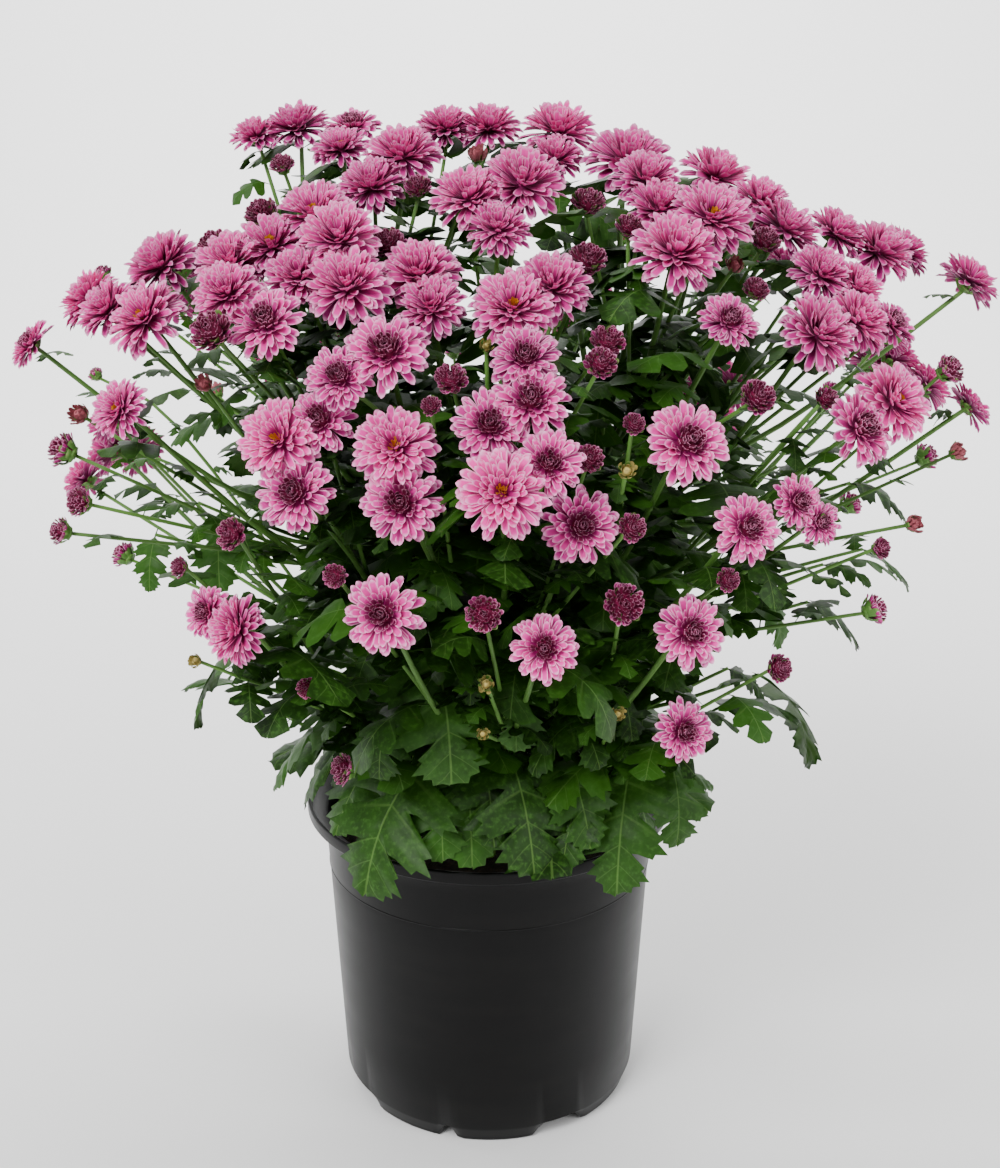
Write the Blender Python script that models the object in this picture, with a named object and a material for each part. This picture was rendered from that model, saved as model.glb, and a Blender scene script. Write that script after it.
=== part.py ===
"""Pot chrysanthemum: a plant of double pink blooms in a black nursery pot. Metres, +Z up, feet at z = 0."""
import math

import bmesh
import bpy
import numpy as np

GAP = 0.0003

# Pot: turned, with eight scallops cut in its foot
POT_HEIGHT = 0.1755
LIP_RADIUS = 0.1015
LIP_DEPTH = 0.007
WALL_RADIUS_TOP = 0.0919
WALL_RADIUS_LOW = 0.0836
FOOT_RADIUS = 0.0806
FOOT_RISE = 0.010
FLOOR_TOP = 0.006
WALL_THICK = 0.0022
RING_HEIGHT = 0.1364
RING_STEP = 0.0008
POT_SIDES = 28
SCALLOP_HEIGHT = 0.0075
SCALLOP_WIDE = 0.034
SCALLOP_NARROW = 0.011
SCALLOP_REACH = 0.016
SCALLOP_FIRST = math.radians(-106)
SOIL_TOP = 0.152
SOIL_RIM = 0.148
SOIL_SIDES = 20

# Crown: the blooms lie on an egg round this middle, and the leafy stems fill it
CROWN_MIDDLE = np.array((0.0, 0.0, 0.370))
CROWN_REACH = np.array((0.250, 0.200, 0.170))

# Places on the near side are read as an eye in front of the plant sees them, as points across and down
EYE = np.array((0.0062, -0.820, 0.564))
EYE_PITCH = math.radians(18.13)
EYE_SCALE = 1600.0
EYE_ACROSS = 500.0
EYE_DOWN = 584.0

# Open blooms, spray by spray: across, down, span in mm, mm set back from the crown, turn to the right in degrees
SPRAYS = {
    "crest_left": ((294, 122, 35, 20, 0), (259, 140, 28, 40, 0)),
    "crest_left_low": ((331, 148, 28, 0, 0), (361, 125, 28, 25, 0)),
    "crest_mid_left": ((407, 149, 36, 10, 0), (363, 180, 32, 0, 0)),
    "crest_mid": ((492, 123, 32, 30, 0), (442, 128, 30, 40, 0)),
    "crest_mid_right": ((561, 122, 37, 30, 0), (555, 156, 28, 10, 0)),
    "crown_mid": ((524, 181, 38, -10, 0), (465, 196, 32, 0, 0), (501, 230, 28, 0, 0)),
    "crest_right": ((630, 153, 41, 10, 0),),
    "crest_right_low": ((658, 209, 32, 20, 0), (644, 187, 32, 30, 0)),
    "crest_far_right": ((721, 167, 38, 20, 20),),
    "left_top": ((316, 206, 35, 0, 0), (264, 243, 34, 0, 0), (232, 265, 32, 15, 0)),
    "left_bank": ((225, 294, 30, 0, 0), (274, 327, 33, -10, 0)),
    "mid_bank": ((345, 281, 37, -10, 0), (302, 281, 30, 15, 0), (343, 246, 36, 20, 0)),
    "mid_bank_right": ((419, 270, 35, 0, 0), (430, 304, 30, 20, 0)),
    "centre_top": ((518, 296, 36, -10, 0), (548, 287, 34, 10, 0)),
    "right_bank": ((671, 255, 38, -10, 0), (717, 215, 37, 0, 0)),
    "right_top": ((790, 220, 36, 10, 25), (762, 201, 30, 30, 0)),
    "right_shoulder": ((866, 251, 38, 10, 10), (925, 248, 32, 20, 40), (829, 229, 32, 30, 20)),
    "right_back": ((818, 274, 30, 25, 0), (852, 293, 28, 35, 10)),
    "right_edge": ((968, 282, 33, 0, 50),),
    "left_shoulder": ((156, 259, 37, 10, -15),),
    "left_edge": ((159, 318, 36, 0, -10), (110, 317, 31, 20, -20), (79, 294, 32, 20, -40)),
    "left_tip": ((30, 343, 27, 0, -25),),
    "left_low": ((119, 409, 27, 0, -15),),
    "centre_left": ((391, 348, 35, 0, 0), (335, 380, 28, 0, 0)),
    "centre": ((525, 358, 29, 0, 0), (529, 404, 32, 15, 0), (491, 424, 31, -5, 0)),
    "front_left": ((281, 431, 35, 0, -5), (318, 425, 28, 20, 0), (294, 496, 33, -5, -5)),
    "front_mid_left": ((395, 442, 34, 10, 0), (401, 508, 33, -5, 0)),
    "front_mid": ((501, 494, 36, -10, 0), (549, 466, 28, 5, 0)),
    "front_mid_right": ((585, 526, 32, 0, 5),),
    "front_right": ((688, 442, 35, 0, 5),),
    "right_small": ((730, 320, 26, 0, 0),),
    "right_cluster": ((804, 335, 37, 0, 10), (852, 318, 32, 15, 15), (905, 328, 26, 10, 20)),
    "right_low": ((905, 391, 38, 0, 15), (848, 440, 34, 0, 15)),
    "right_tip": ((970, 405, 26, 0, 60),),
    "right_skirt": ((747, 528, 29, 0, 5),),
    "right_pair": ((799, 502, 24, 0, 10), (821, 522, 20, -5, 10)),
    "low_right": ((691, 632, 31, 0, 5),),
    "low_right_tip": ((684, 731, 28, -5, 5),),
    "low_mid": ((544, 648, 29, 0, 0),),
    "low_left": ((382, 614, 33, -5, 0),),
    "low_left_edge": ((242, 633, 31, 0, -30), (200, 609, 24, 10, -20)),
}

# Half-open heads and closed buds, read the same way
HALF_OPEN = (
    (282, 164, 14, 10, 0), (419, 192, 15, 30, 0), (215, 246, 20, 20, 0), (384, 233, 19, 0, 0),
    (261, 213, 19, 20, -20), (590, 251, 20, 0, 0), (588, 202, 18, 15, 0), (627, 234, 15, 30, 0),
    (761, 246, 17, 40, 0), (756, 289, 14, 20, 0), (221, 340, 21, 0, 0), (79, 502, 16, 0, -20),
    (60, 531, 15, -5, -40), (62, 449, 19, 0, -60), (231, 534, 16, 0, -10), (179, 567, 11, 10, -30),
    (451, 378, 16, 0, 0), (431, 406, 10, 0, 0), (590, 458, 14, 0, 0), (608, 341, 17, 0, 0),
    (601, 363, 16, -5, 0), (634, 424, 11, 0, 0), (628, 528, 14, 0, 10), (950, 369, 18, 0, 20),
    (758, 397, 18, 0, 0), (829, 397, 13, 10, 0), (881, 548, 12, 0, 20), (728, 580, 12, 0, 0),
    (779, 668, 15, 0, 10), (335, 576, 12, 0, 0), (307, 688, 11, 0, 0), (875, 609, 17, 0, 70),
    (624, 604, 20, 0, 0), (484, 614, 18, 0, 0), (343, 769, 18, 0, -50),
)
BUDS = (
    (477, 154, 12, 40, 0), (735, 265, 10, 20, 0), (79, 414, 12, 10, 0), (204, 384, 10, 30, 0),
    (486, 344, 7, 0, 0), (627, 471, 9, 0, 0), (958, 452, 12, 0, 30), (914, 524, 11, 0, 20),
    (618, 714, 8, 0, 0), (486, 684, 9, 0, 0), (483, 734, 7, 0, 0), (195, 661, 8, 0, -20),
)

# The far side, which the eye doesn't reach, is filled by the rule in far_sprays
FAR_SPRAYS = 8
FAR_BLOOMS = (4, 4, 5)
FAR_SPAN = 0.036
FAR_SEED = 11

# Touching blooms of a spray lie this near across and along their axes, and all others this far, in radii
TOUCH_NEAR = 0.60
TOUCH_FAR = 0.68
CLEAR_ACROSS = 1.06
CLEAR_ALONG = 0.52
LEVEL_SLACK = 0.05
NEAR_LEAN = 0.36
GOLDEN = 0.618034
PETALS = 6

# Leafy stems: a ring of rooted cuttings that lean out as they rise
STEMS = 8
STEM_FOOT_REACH = 0.036
STEM_FOOT = 0.128
STEM_KNEE = np.array((0.044, 0.270))
STEM_TOP = np.array((0.078, 0.385))
STEM_RADIUS_LOW = 0.0040
STEM_RADIUS_TOP = 0.0036
BRANCH_RADIUS = 0.0026
STALK_RADIUS = 0.0012
STEM_HOLE = 0.0058
STALK_ROOM = 0.003
STALK_BENDS = (0.0, 0.010, 0.020, 0.032, 0.045)

# Leaves, larger near the pot, smaller up the stem and smallest on the branches
LEAVES_A_STEM = 7
BRANCH_LEAVES = (0.92, 0.55)
BARE_REACH = 0.19
LEAF_TRIES = 18
LEAF_LENGTH_LOW = 0.092
LEAF_LENGTH_TOP = 0.058
LEAF_LENGTH_BRANCH = 0.050
LEAF_THICK = 0.0008
LEAF_TURN = math.radians(137.5)
LEAF_GRID = 0.0036
LEAF_CLEAR = 0.0044
LEAF_SEED = 4
# Half outline of a leaf, as shares of its length: along the midrib, and out from it
LEAF_OUTLINE = ((0.0, 0.013), (0.20, 0.022), (0.37, 0.31), (0.50, 0.13), (0.70, 0.27))
LEAF_MIDRIB = 0.52


def unit(vector):
    """The vector's direction."""
    return vector / np.linalg.norm(vector)


def sight(across, down):
    """The direction in which the eye sees a point, for one metre straight ahead."""
    ahead = np.array((0.0, math.cos(EYE_PITCH), -math.sin(EYE_PITCH)))
    over = np.array((0.0, math.sin(EYE_PITCH), math.cos(EYE_PITCH)))
    right = np.array((1.0, 0.0, 0.0))
    return ahead + right * (across - EYE_ACROSS) / EYE_SCALE + over * (EYE_DOWN - down) / EYE_SCALE


def on_crown(across, down, set_back):
    """Where the line of sight meets the crown, or passes nearest to it, moved back along that line."""
    line = sight(across, down)
    start = (EYE - CROWN_MIDDLE) / CROWN_REACH
    step = line / CROWN_REACH
    a, b, c = step @ step, start @ step, start @ start - 1.0
    ahead = (-b - math.sqrt(max(b * b - a * c, 0.0))) / a
    return EYE + line * ahead + unit(line) * set_back


def units(vectors):
    """Directions of many vectors at once."""
    return vectors / np.linalg.norm(vectors, axis=-1, keepdims=True)


def facing(places, turns, leans):
    """The way heads face at their places: out from the crown, up and towards the eye, turned to its right."""
    out = (places - CROWN_MIDDLE) / CROWN_REACH ** 2
    out[..., 2] = np.maximum(out[..., 2], 0.0)
    way = units(out) * 0.62 + np.array((0.0, 0.0, 0.34)) - np.multiply.outer(leans, np.array((0.0, 1.0, 0.0)))
    cos, sin = np.cos(np.radians(turns)), np.sin(np.radians(turns))
    swung = (way[..., 0] * cos - way[..., 1] * sin, way[..., 0] * sin + way[..., 1] * cos, way[..., 2])
    return units(np.stack(swung, axis=-1))


class Head:
    """A bloom, half-open head or bud: its place, radius, facing and spray."""

    def __init__(self, place, span, turn, spray):
        self.place = place
        self.radius = span / 2
        self.turn = turn
        self.spray = spray
        self.lean = 0.0 if spray.startswith("far") else NEAR_LEAN
        self.way = facing(place, turn, self.lean)


def read_heads(rows, spray):
    """Heads from rows of readings."""
    return [Head(on_crown(across, down, back / 1000), span / 1000, turn, spray)
            for across, down, span, back, turn in rows]


def far_sprays():
    """Sprays on the far half of the crown: a bloom with others round it, spread by the golden ratio."""
    rng = np.random.default_rng(FAR_SEED)
    heads = []
    for number in range(FAR_SPRAYS):
        azimuth = math.radians(14 + 152 * ((number * GOLDEN + 0.2) % 1.0))
        rise = 0.10 - 0.15 * (number + 0.5) / FAR_SPRAYS
        name = f"far_{number + 1}"
        first = Head(point_on_far_side(azimuth, rise), FAR_SPAN * rng.uniform(0.95, 1.08), 0.0, name)
        heads.append(first)
        side, over = frame_of(first.way)
        start = rng.uniform(0, 2 * math.pi)
        mates = FAR_BLOOMS[number % len(FAR_BLOOMS)] - 1
        for mate in range(mates):
            angle = start + mate * 2 * math.pi / mates + rng.uniform(-0.15, 0.15)
            place = first.place + (side * math.cos(angle) + over * math.sin(angle)) * FAR_SPAN * TOUCH_FAR
            heads.append(Head(place, FAR_SPAN * rng.uniform(0.8, 0.98), 0.0, name))
    return heads


def point_on_far_side(azimuth, rise):
    """A point of the crown at an azimuth behind it and a height over its middle."""
    share = math.sqrt(max(1 - (rise / CROWN_REACH[2]) ** 2, 0.0))
    flat = np.array((math.cos(azimuth), math.sin(azimuth), 0.0)) * CROWN_REACH * share
    return CROWN_MIDDLE + flat + np.array((0.0, 0.0, rise))


def settle(heads, rounds=400):
    """Lays the blooms of a spray rim to rim, and moves all others clear of each other and of the far sprays."""
    place = np.array([head.place for head in heads])
    start = place.copy()
    radii = np.array([head.radius for head in heads])
    reach = radii[:, None] + radii[None]
    turns, leans = np.array([head.turn for head in heads]), np.array([head.lean for head in heads])
    same = np.array([[bool(a.spray) and a.spray == b.spray for b in heads] for a in heads])
    np.fill_diagonal(same, True)
    moves = np.array([[0.0 if head.spray.startswith("far") else 1.0] for head in heads])
    line = unit(sight(EYE_ACROSS, EYE_DOWN))
    linked = np.zeros(same.shape, bool)
    for i in range(len(heads)):
        mates = [j for j in range(i) if same[i, j]]
        if mates:
            offset = seen_offset(place[mates] - place[i], line)
            mate = mates[int(np.argmin((offset ** 2).sum(1)))]
            linked[i, mate] = linked[mate, i] = True
    for _ in range(rounds):
        way = facing(place, turns, leans)
        axis = units(way[:, None] + way[None] + 1e-9)
        offset = place[None] - place[:, None]
        along = (offset * axis).sum(-1)
        rim_way = offset - along[..., None] * axis
        across = np.linalg.norm(rim_way, axis=-1)
        rim_way = rim_way / (across + 1e-9)[..., None]
        # Mates move along the line of sight until their faces are level, and then until their rims meet
        level = linked * (along - np.clip(along, -LEVEL_SLACK * reach, LEVEL_SLACK * reach))
        level = level / np.minimum(axis @ line, -0.35)
        wide = np.maximum(across - TOUCH_FAR * reach, 0.0) * linked
        tight = np.minimum(across - TOUCH_NEAR * reach, 0.0) * same
        step = level[..., None] * line * 0.30 + (wide + tight)[..., None] * rim_way * 0.30
        # All others move apart along it
        near = ~same & ((across / (CLEAR_ACROSS * reach)) ** 2 + (along / (CLEAR_ALONG * reach)) ** 2 < 1)
        deep = offset @ line
        order = np.where(np.abs(deep) < 0.004, np.sign(offset[..., 2] + 1e-9) * 0.010, deep)
        step -= near[..., None] * (order[..., None] * line + seen_offset(offset, line) * 0.12) * 0.06
        np.einsum("iij->ij", step)[:] = 0.0
        place = place + (step.sum(1) + seen_offset(start - place, line) * 0.03) * moves
    for head, settled, way in zip(heads, place, facing(place, turns, leans)):
        head.place = settled
        head.way = way


def seen_offset(offset, line):
    """The part of offsets that is square to the line of sight."""
    return offset - (offset @ line)[..., None] * line


# Meshes are lists of points and faces, and each closed form is placed by a frame of three directions


def frame_of(way, spin=0.0):
    """Two directions square to a way, turned about it."""
    side = np.cross(way, (0.0, 0.0, 1.0))
    if np.linalg.norm(side) < 0.05:
        side = np.array((1.0, 0.0, 0.0))
    side = unit(side - way * (side @ way))
    over = np.cross(way, side)
    return side * math.cos(spin) + over * math.sin(spin), over * math.cos(spin) - side * math.sin(spin)


def ring(middle, way, radius, height, count, start=0.0, spin=0.0):
    """Points round an axis, at a height along it."""
    side, over = frame_of(way, spin)
    angles = [start + 2 * math.pi * k / count for k in range(count)]
    return [middle + way * height + (side * math.cos(a) + over * math.sin(a)) * radius for a in angles]


def band(low, high):
    """Faces between two rings of equally many points, each given by its first index and count."""
    (a, n), (b, _) = low, high
    faces = []
    for k in range(n):
        nxt = (k + 1) % n
        faces += [(a + k, a + nxt, b + nxt), (a + k, b + nxt, b + k)]
    return faces


def fan(tip, first, count, outward):
    """Faces from one point to a ring; outward turns them to face along the axis."""
    faces = [(tip, first + k, first + (k + 1) % count) for k in range(count)]
    return faces if outward else [(a, c, b) for a, b, c in faces]


def bloom_mesh(head, petals):
    """A double bloom: a ring of ray petals round a second, higher ring, over the cone of its green base."""
    r, step = head.radius, math.pi / petals
    spin = head.place[0] * 90
    points = [head.place - head.way * 0.34 * r]
    tips = ring(head.place, head.way, r, -0.06 * r, petals, 0, spin)
    notches = ring(head.place, head.way, 0.79 * r, 0.0, petals, step, spin)
    for tip, notch in zip(tips, notches):
        points += [tip, notch]
    crease = 1 + 2 * petals
    points += ring(head.place, head.way, 0.62 * r, 0.17 * r, petals, 0, spin)
    upper = crease + petals
    points += ring(head.place, head.way, 0.70 * r, 0.30 * r, petals, step, spin)
    top = upper + petals
    points.append(head.place + head.way * 0.46 * r)
    faces = fan(0, 1, 2 * petals, False)
    for k in range(petals):
        tip, notch = 1 + 2 * k, 2 + 2 * k
        next_tip, next_crease = 1 + 2 * ((k + 1) % petals), crease + (k + 1) % petals
        faces += [(tip, notch, crease + k), (notch, next_tip, next_crease), (notch, next_crease, crease + k)]
        faces += [(crease + k, next_crease, upper + k)]
        previous = upper + (k - 1) % petals
        faces += [(crease + k, upper + k, previous)]
    return points, faces + fan(top, upper, petals, True)


def head_mesh(head, sides):
    """A half-open head or bud: a rounded barrel, wider above."""
    r = head.radius
    points = [head.place - head.way * 0.75 * r]
    points += ring(head.place, head.way, 0.90 * r, -0.25 * r, sides)
    points += ring(head.place, head.way, 0.98 * r, 0.25 * r, sides)
    points.append(head.place + head.way * 0.62 * r)
    faces = fan(0, 1, sides, False) + band((1, sides), (1 + sides, sides))
    return points, faces + fan(1 + 2 * sides, 1 + sides, sides, True)


def tube_mesh(path, radii, sides):
    """A closed tube along a path."""
    points, faces = [], []
    for k, (place, radius) in enumerate(zip(path, radii)):
        before, after = path[max(k - 1, 0)], path[min(k + 1, len(path) - 1)]
        points += ring(place, unit(after - before), radius, 0.0, sides)
        if k:
            faces += band(((k - 1) * sides, sides), (k * sides, sides))
    last = (len(path) - 1) * sides
    start_cap = [(0, k + 1, k) for k in range(1, sides - 1)]
    end_cap = [(last, last + k, last + k + 1) for k in range(1, sides - 1)]
    return points, start_cap + faces + end_cap


# Stems, branches and flower stalks


def stem_way(number):
    """The direction in which a stem leans, seen from above; the first leans towards the eye."""
    angle = math.radians(-90) + 2 * math.pi * number / STEMS
    return np.array((math.cos(angle), math.sin(angle), 0.0))


def curve(start, knee, end, share):
    """A point on the smooth curve that leaves start towards knee and comes from knee into end."""
    return start * (1 - share) ** 2 + knee * 2 * share * (1 - share) + end * share ** 2


def stem_point(number, share):
    """A point on a main stem, from 0 in the soil to 1 at its top."""
    out, up = stem_way(number), np.array((0.0, 0.0, 1.0))
    foot = out * STEM_FOOT_REACH + up * STEM_FOOT
    knee = out * STEM_KNEE[0] + up * STEM_KNEE[1]
    top = out * STEM_TOP[0] + up * STEM_TOP[1]
    return curve(foot, knee, top, share)


def nearest_stem(place):
    """The stem whose sector a place lies in."""
    angle = math.degrees(math.atan2(place[1], place[0])) + 90
    return int(round(angle / (360 / STEMS))) % STEMS


def base_of(head):
    """Where a head sits on its stalk: an open bloom stands a hair above it, any other head is sunk on it."""
    if head.spray:
        return head.place - head.way * (0.34 * head.radius + GAP)
    return head.place - head.way * 0.60 * head.radius


def dense(path, spacing=0.0025):
    """Points close together along a path."""
    points = []
    for a, b in zip(path, path[1:]):
        count = max(int(np.linalg.norm(b - a) / spacing), 1)
        points += [a + (b - a) * k / count for k in range(count + 1)]
    return points


def room_round(points, heads, margin):
    """The least distance from points to heads, as a share of the heads' own size and a margin."""
    place = np.array([head.place for head in heads])
    way = np.array([head.way for head in heads])
    radii = np.array([head.radius for head in heads])
    offset = np.asarray(points)[:, None] - place[None]
    along = (offset * way[None]).sum(-1)
    across = np.sqrt(np.maximum((offset ** 2).sum(-1) - along ** 2, 0.0))
    return np.hypot(across / (radii + margin), (along - 0.08 * radii) / (0.56 * radii + margin)).min()


def bent_clear(start, end, way, neck, heads):
    """A path from start to end, arriving along way, bent as little as keeps it clear of the heads."""
    last = end - way * neck
    tail = [last, end] if neck > 0.002 else [end]
    side, over = frame_of(unit(last - start))
    best, best_room = None, -9.0
    for bend in STALK_BENDS:
        for turn in range(10 if bend else 1):
            angle = turn * math.pi / 5
            for share in (0.45, 0.75) if bend else (0.5,):
                middle = start + (last - start) * share
                middle = middle + (side * math.cos(angle) + over * math.sin(angle)) * bend
                path = [start, middle] + tail if bend else [start] + tail
                tested = dense([start, middle, last]) + [last + way * neck * 0.5]
                room = min(room_round(tested, heads, STALK_ROOM), 1.0) - bend
                if room > best_room:
                    best, best_room = path, room
        if best_room >= 1.0 - bend:
            break
    return best


def plan_sprays(blooms, others):
    """Groups every head with the spray that it grows from, and gives each spray its stem and its branch."""
    plans = {}
    for head in blooms:
        plans.setdefault(head.spray, {"name": head.spray, "heads": []})["heads"].append(head)
    for plan in plans.values():
        plan["middle"] = sum(head.place for head in plan["heads"]) / len(plan["heads"])
    for head in others:
        nearest = min(plans.values(), key=lambda plan: np.linalg.norm(plan["middle"] - head.place))
        nearest["heads"].append(head)
    heads = blooms + others
    for plan in plans.values():
        plan["stem"] = nearest_stem(plan["middle"])
        rise = (plan["middle"][2] - 0.125 - SOIL_TOP) / (STEM_TOP[1] - SOIL_TOP)
        root = stem_point(plan["stem"], min(max(rise, 0.30), 1.0))
        fork = root + (plan["middle"] - root) * 0.50 - np.array((0.0, 0.0, 0.012))
        plan["branch"] = bent_clear(root, fork, unit(fork - root), 0.001, heads)
        plan["stalks"] = []
        for place_in_row, head in enumerate(plan["heads"]):
            low, high = plan["branch"][-2], plan["branch"][-1]
            start = high + (low - high) * min(0.10 * place_in_row, 0.8)
            base = base_of(head)
            neck = 0.30 * head.radius if head.spray else 0.001
            others_than_own = [other for other in heads if other is not head]
            plan["stalks"].append(bent_clear(start, base, head.way, neck, others_than_own))
    return list(plans.values())


# Leaves


def leaf_frame(way, rise):
    """A leaf's directions where it rises at an angle: along it, to its side, and up from its face."""
    up = np.array((0.0, 0.0, 1.0))
    along = way * math.cos(rise) + up * math.sin(rise)
    return along, np.cross(way, up), up * math.cos(rise) - way * math.sin(rise)


def leaf_point(leaf, share, out):
    """A point of a leaf's face: share of its length along the arched midrib, and out to its side."""
    # The midrib turns down steadily by bend over its length
    chord, side, _ = leaf_frame(leaf["way"], leaf["rise"] - leaf["bend"] * share / 2)
    up = leaf_frame(leaf["way"], leaf["rise"])[2]
    across = side * math.cos(leaf["roll"]) + up * math.sin(leaf["roll"])
    sag = np.array((0.0, 0.0, -0.22)) * abs(out)
    return leaf["base"] + (chord * share + across * out + sag) * leaf["length"]


def leaf_mesh(leaf):
    """A lobed blade with a face above and the same face below, and a rim between them."""
    flat = [(s, w) for s, w in LEAF_OUTLINE] + [(1.0, 0.0)] + [(s, -w) for s, w in reversed(LEAF_OUTLINE)]
    rim = len(flat)
    flat += [(LEAF_MIDRIB, 0.0)]
    # The petiole, and a fan round a point of the midrib to the lobes, the sinuses between them and the tip
    faces = [(0, 1, rim - 2), (0, rim - 2, rim - 1)]
    faces += [(rim, k, k + 1) for k in range(1, rim - 2)] + [(rim, rim - 2, 1)]
    places = [leaf_point(leaf, s, w) for s, w in flat]
    halves = [leaf_frame(leaf["way"], leaf["rise"] - leaf["bend"] * s)[2] * LEAF_THICK / 2 for s, w in flat]
    total = len(places)
    points = [p + half for p, half in zip(places, halves)] + [p - half for p, half in zip(places, halves)]
    under = [(a + total, c + total, b + total) for a, b, c in faces]
    edge = []
    for k in range(rim):
        nxt = (k + 1) % rim
        edge += [(k, k + total, nxt + total), (k, nxt + total, nxt)]
    return points, faces + under + edge


def leaf_cloud(leaf):
    """Points spread over a leaf, close enough together that nothing passes between them unseen."""
    cloud = []
    steps = max(int(leaf["length"] / LEAF_GRID), 6)
    for share in np.linspace(LEAF_OUTLINE[1][0], 1.0, steps):
        wide = np.interp(share, (0.2, 0.37, 0.70, 1.0), (0.03, 0.31, 0.27, 0.01))
        spread = max(int(2 * wide * leaf["length"] / LEAF_GRID), 1)
        for m in range(spread + 1):
            cloud.append(leaf_point(leaf, share, wide * (2 * m / spread - 1)))
    return np.array(cloud)


def clear_of_pot(cloud):
    """Whether points stay clear of the pot, its lip and the soil."""
    reach = np.hypot(cloud[:, 0], cloud[:, 1])
    over_soil = (reach < WALL_RADIUS_TOP - 0.008) & (cloud[:, 2] < SOIL_TOP + 0.004)
    at_wall = (reach >= WALL_RADIUS_TOP - 0.008) & (reach < LIP_RADIUS + 0.003) & (cloud[:, 2] < POT_HEIGHT + 0.003)
    return not (over_soil | at_wall).any()


def clear_of_points(cloud, others):
    """Whether points keep their distance from other points."""
    low, high = cloud.min(0) - LEAF_CLEAR, cloud.max(0) + LEAF_CLEAR
    near = others[((others > low) & (others < high)).all(1)]
    if not len(near):
        return True
    return (((cloud[:, None] - near[None]) ** 2).sum(2) > LEAF_CLEAR ** 2).all()


def sprouts(plans):
    """Where leaves sprout: up every stem by the golden angle, then to either side of every branch."""
    rng = np.random.default_rng(LEAF_SEED)
    rows = []
    for level in range(LEAVES_A_STEM):
        grown = 1 - level / (LEAVES_A_STEM - 1)
        length = LEAF_LENGTH_TOP + (LEAF_LENGTH_LOW - LEAF_LENGTH_TOP) * grown
        for number in range(STEMS):
            lean = ((level * LEAF_TURN + number) % (2 * math.pi) - math.pi) * 0.5
            rows.append({"stem": number, "base": stem_point(number, 0.96 - 0.76 * grown),
                         "way": turned_way(stem_way(number), lean), "rise": 0.85 - 0.20 * grown,
                         "length": length * rng.uniform(0.88, 1.08), "roll": rng.uniform(-0.25, 0.25)})
    for place, share in enumerate(BRANCH_LEAVES):
        for number, plan in enumerate(plans):
            low, high = plan["branch"][-2], plan["branch"][-1]
            out = unit((high - low) * np.array((1.0, 1.0, 0.0)))
            lean = rng.uniform(0.5, 1.3) * (1 if (number + place) % 2 else -1)
            row = {"stem": plan["stem"], "base": low + (high - low) * share, "way": turned_way(out, lean),
                   "rise": 0.80, "length": LEAF_LENGTH_BRANCH * rng.uniform(0.85, 1.10),
                   "roll": rng.uniform(-0.25, 0.25)}
            # The outermost sprays stand on bare stalks
            if place or abs(plan["middle"][0]) < BARE_REACH:
                rows.append(row)
    return rows


def grow_leaves(plans, stem_points, heads):
    """The leaves, each turned or drooped until it is clear, or else left out."""
    leaves = [[] for _ in range(STEMS)]
    for row in sprouts(plans):
        others = np.array([p for points in stem_points for p in points])
        for attempt in range(LEAF_TRIES):
            angle = (attempt + 1) // 2 * 0.16 * (1 if attempt % 2 else -1)
            leaf = dict(row, way=turned_way(row["way"], angle), length=row["length"] * (1 - 0.012 * attempt),
                        bend=1.30 + 0.50 * (attempt % 3))
            cloud = leaf_cloud(leaf)
            if clear_of_pot(cloud) and room_round(cloud, heads, 0.003) > 1 and clear_of_points(cloud, others):
                leaves[row["stem"]].append(leaf)
                stem_points[row["stem"]] += list(cloud)
                break
    return leaves


def turned_way(way, angle):
    """A level direction turned about the vertical."""
    cos, sin = math.cos(angle), math.sin(angle)
    return np.array((way[0] * cos - way[1] * sin, way[0] * sin + way[1] * cos, 0.0))


# Objects


def material(name, colour, roughness):
    """A plain surface in an sRGB colour."""
    made = bpy.data.materials.new(name)
    made.use_nodes = True
    shader = made.node_tree.nodes["Principled BSDF"]
    linear = [((c + 0.055) / 1.055) ** 2.4 for c in colour]
    shader.inputs["Base Color"].default_value = (*linear, 1.0)
    shader.inputs["Roughness"].default_value = roughness
    return made


def add_object(name, points, faces, surface, place=bpy.context.scene.collection):
    """An object from points and faces."""
    mesh = bpy.data.meshes.new(name)
    mesh.from_pydata([tuple(map(float, p)) for p in points], [], faces)
    mesh.update()
    made = bpy.data.objects.new(name, mesh)
    if surface:
        mesh.materials.append(surface)
    place.objects.link(made)
    return made


def fuse(name, shapes, surface):
    """One closed body from closed forms that run into each other, without loose scraps or sealed hollows."""
    body = add_object(name, *shapes[0], surface)
    if len(shapes) > 1:
        rest = bpy.data.collections.new(name + "_rest")
        bpy.context.scene.collection.children.link(rest)
        for k, (points, faces) in enumerate(shapes[1:]):
            add_object(f"{name}_{k}", points, faces, None, rest)
        union = body.modifiers.new("Union", "BOOLEAN")
        union.operation = "UNION"
        union.solver = "MANIFOLD"
        union.operand_type = "COLLECTION"
        union.collection = rest
        bpy.context.view_layer.update()
        seen = body.evaluated_get(bpy.context.evaluated_depsgraph_get())
        whole = bpy.data.meshes.new_from_object(seen)
        body.modifiers.remove(union)
        body.data = whole
        for part in list(rest.objects):
            bpy.data.objects.remove(part, do_unlink=True)
        bpy.data.collections.remove(rest)
        keep_largest(body.data)
    return body


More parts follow.
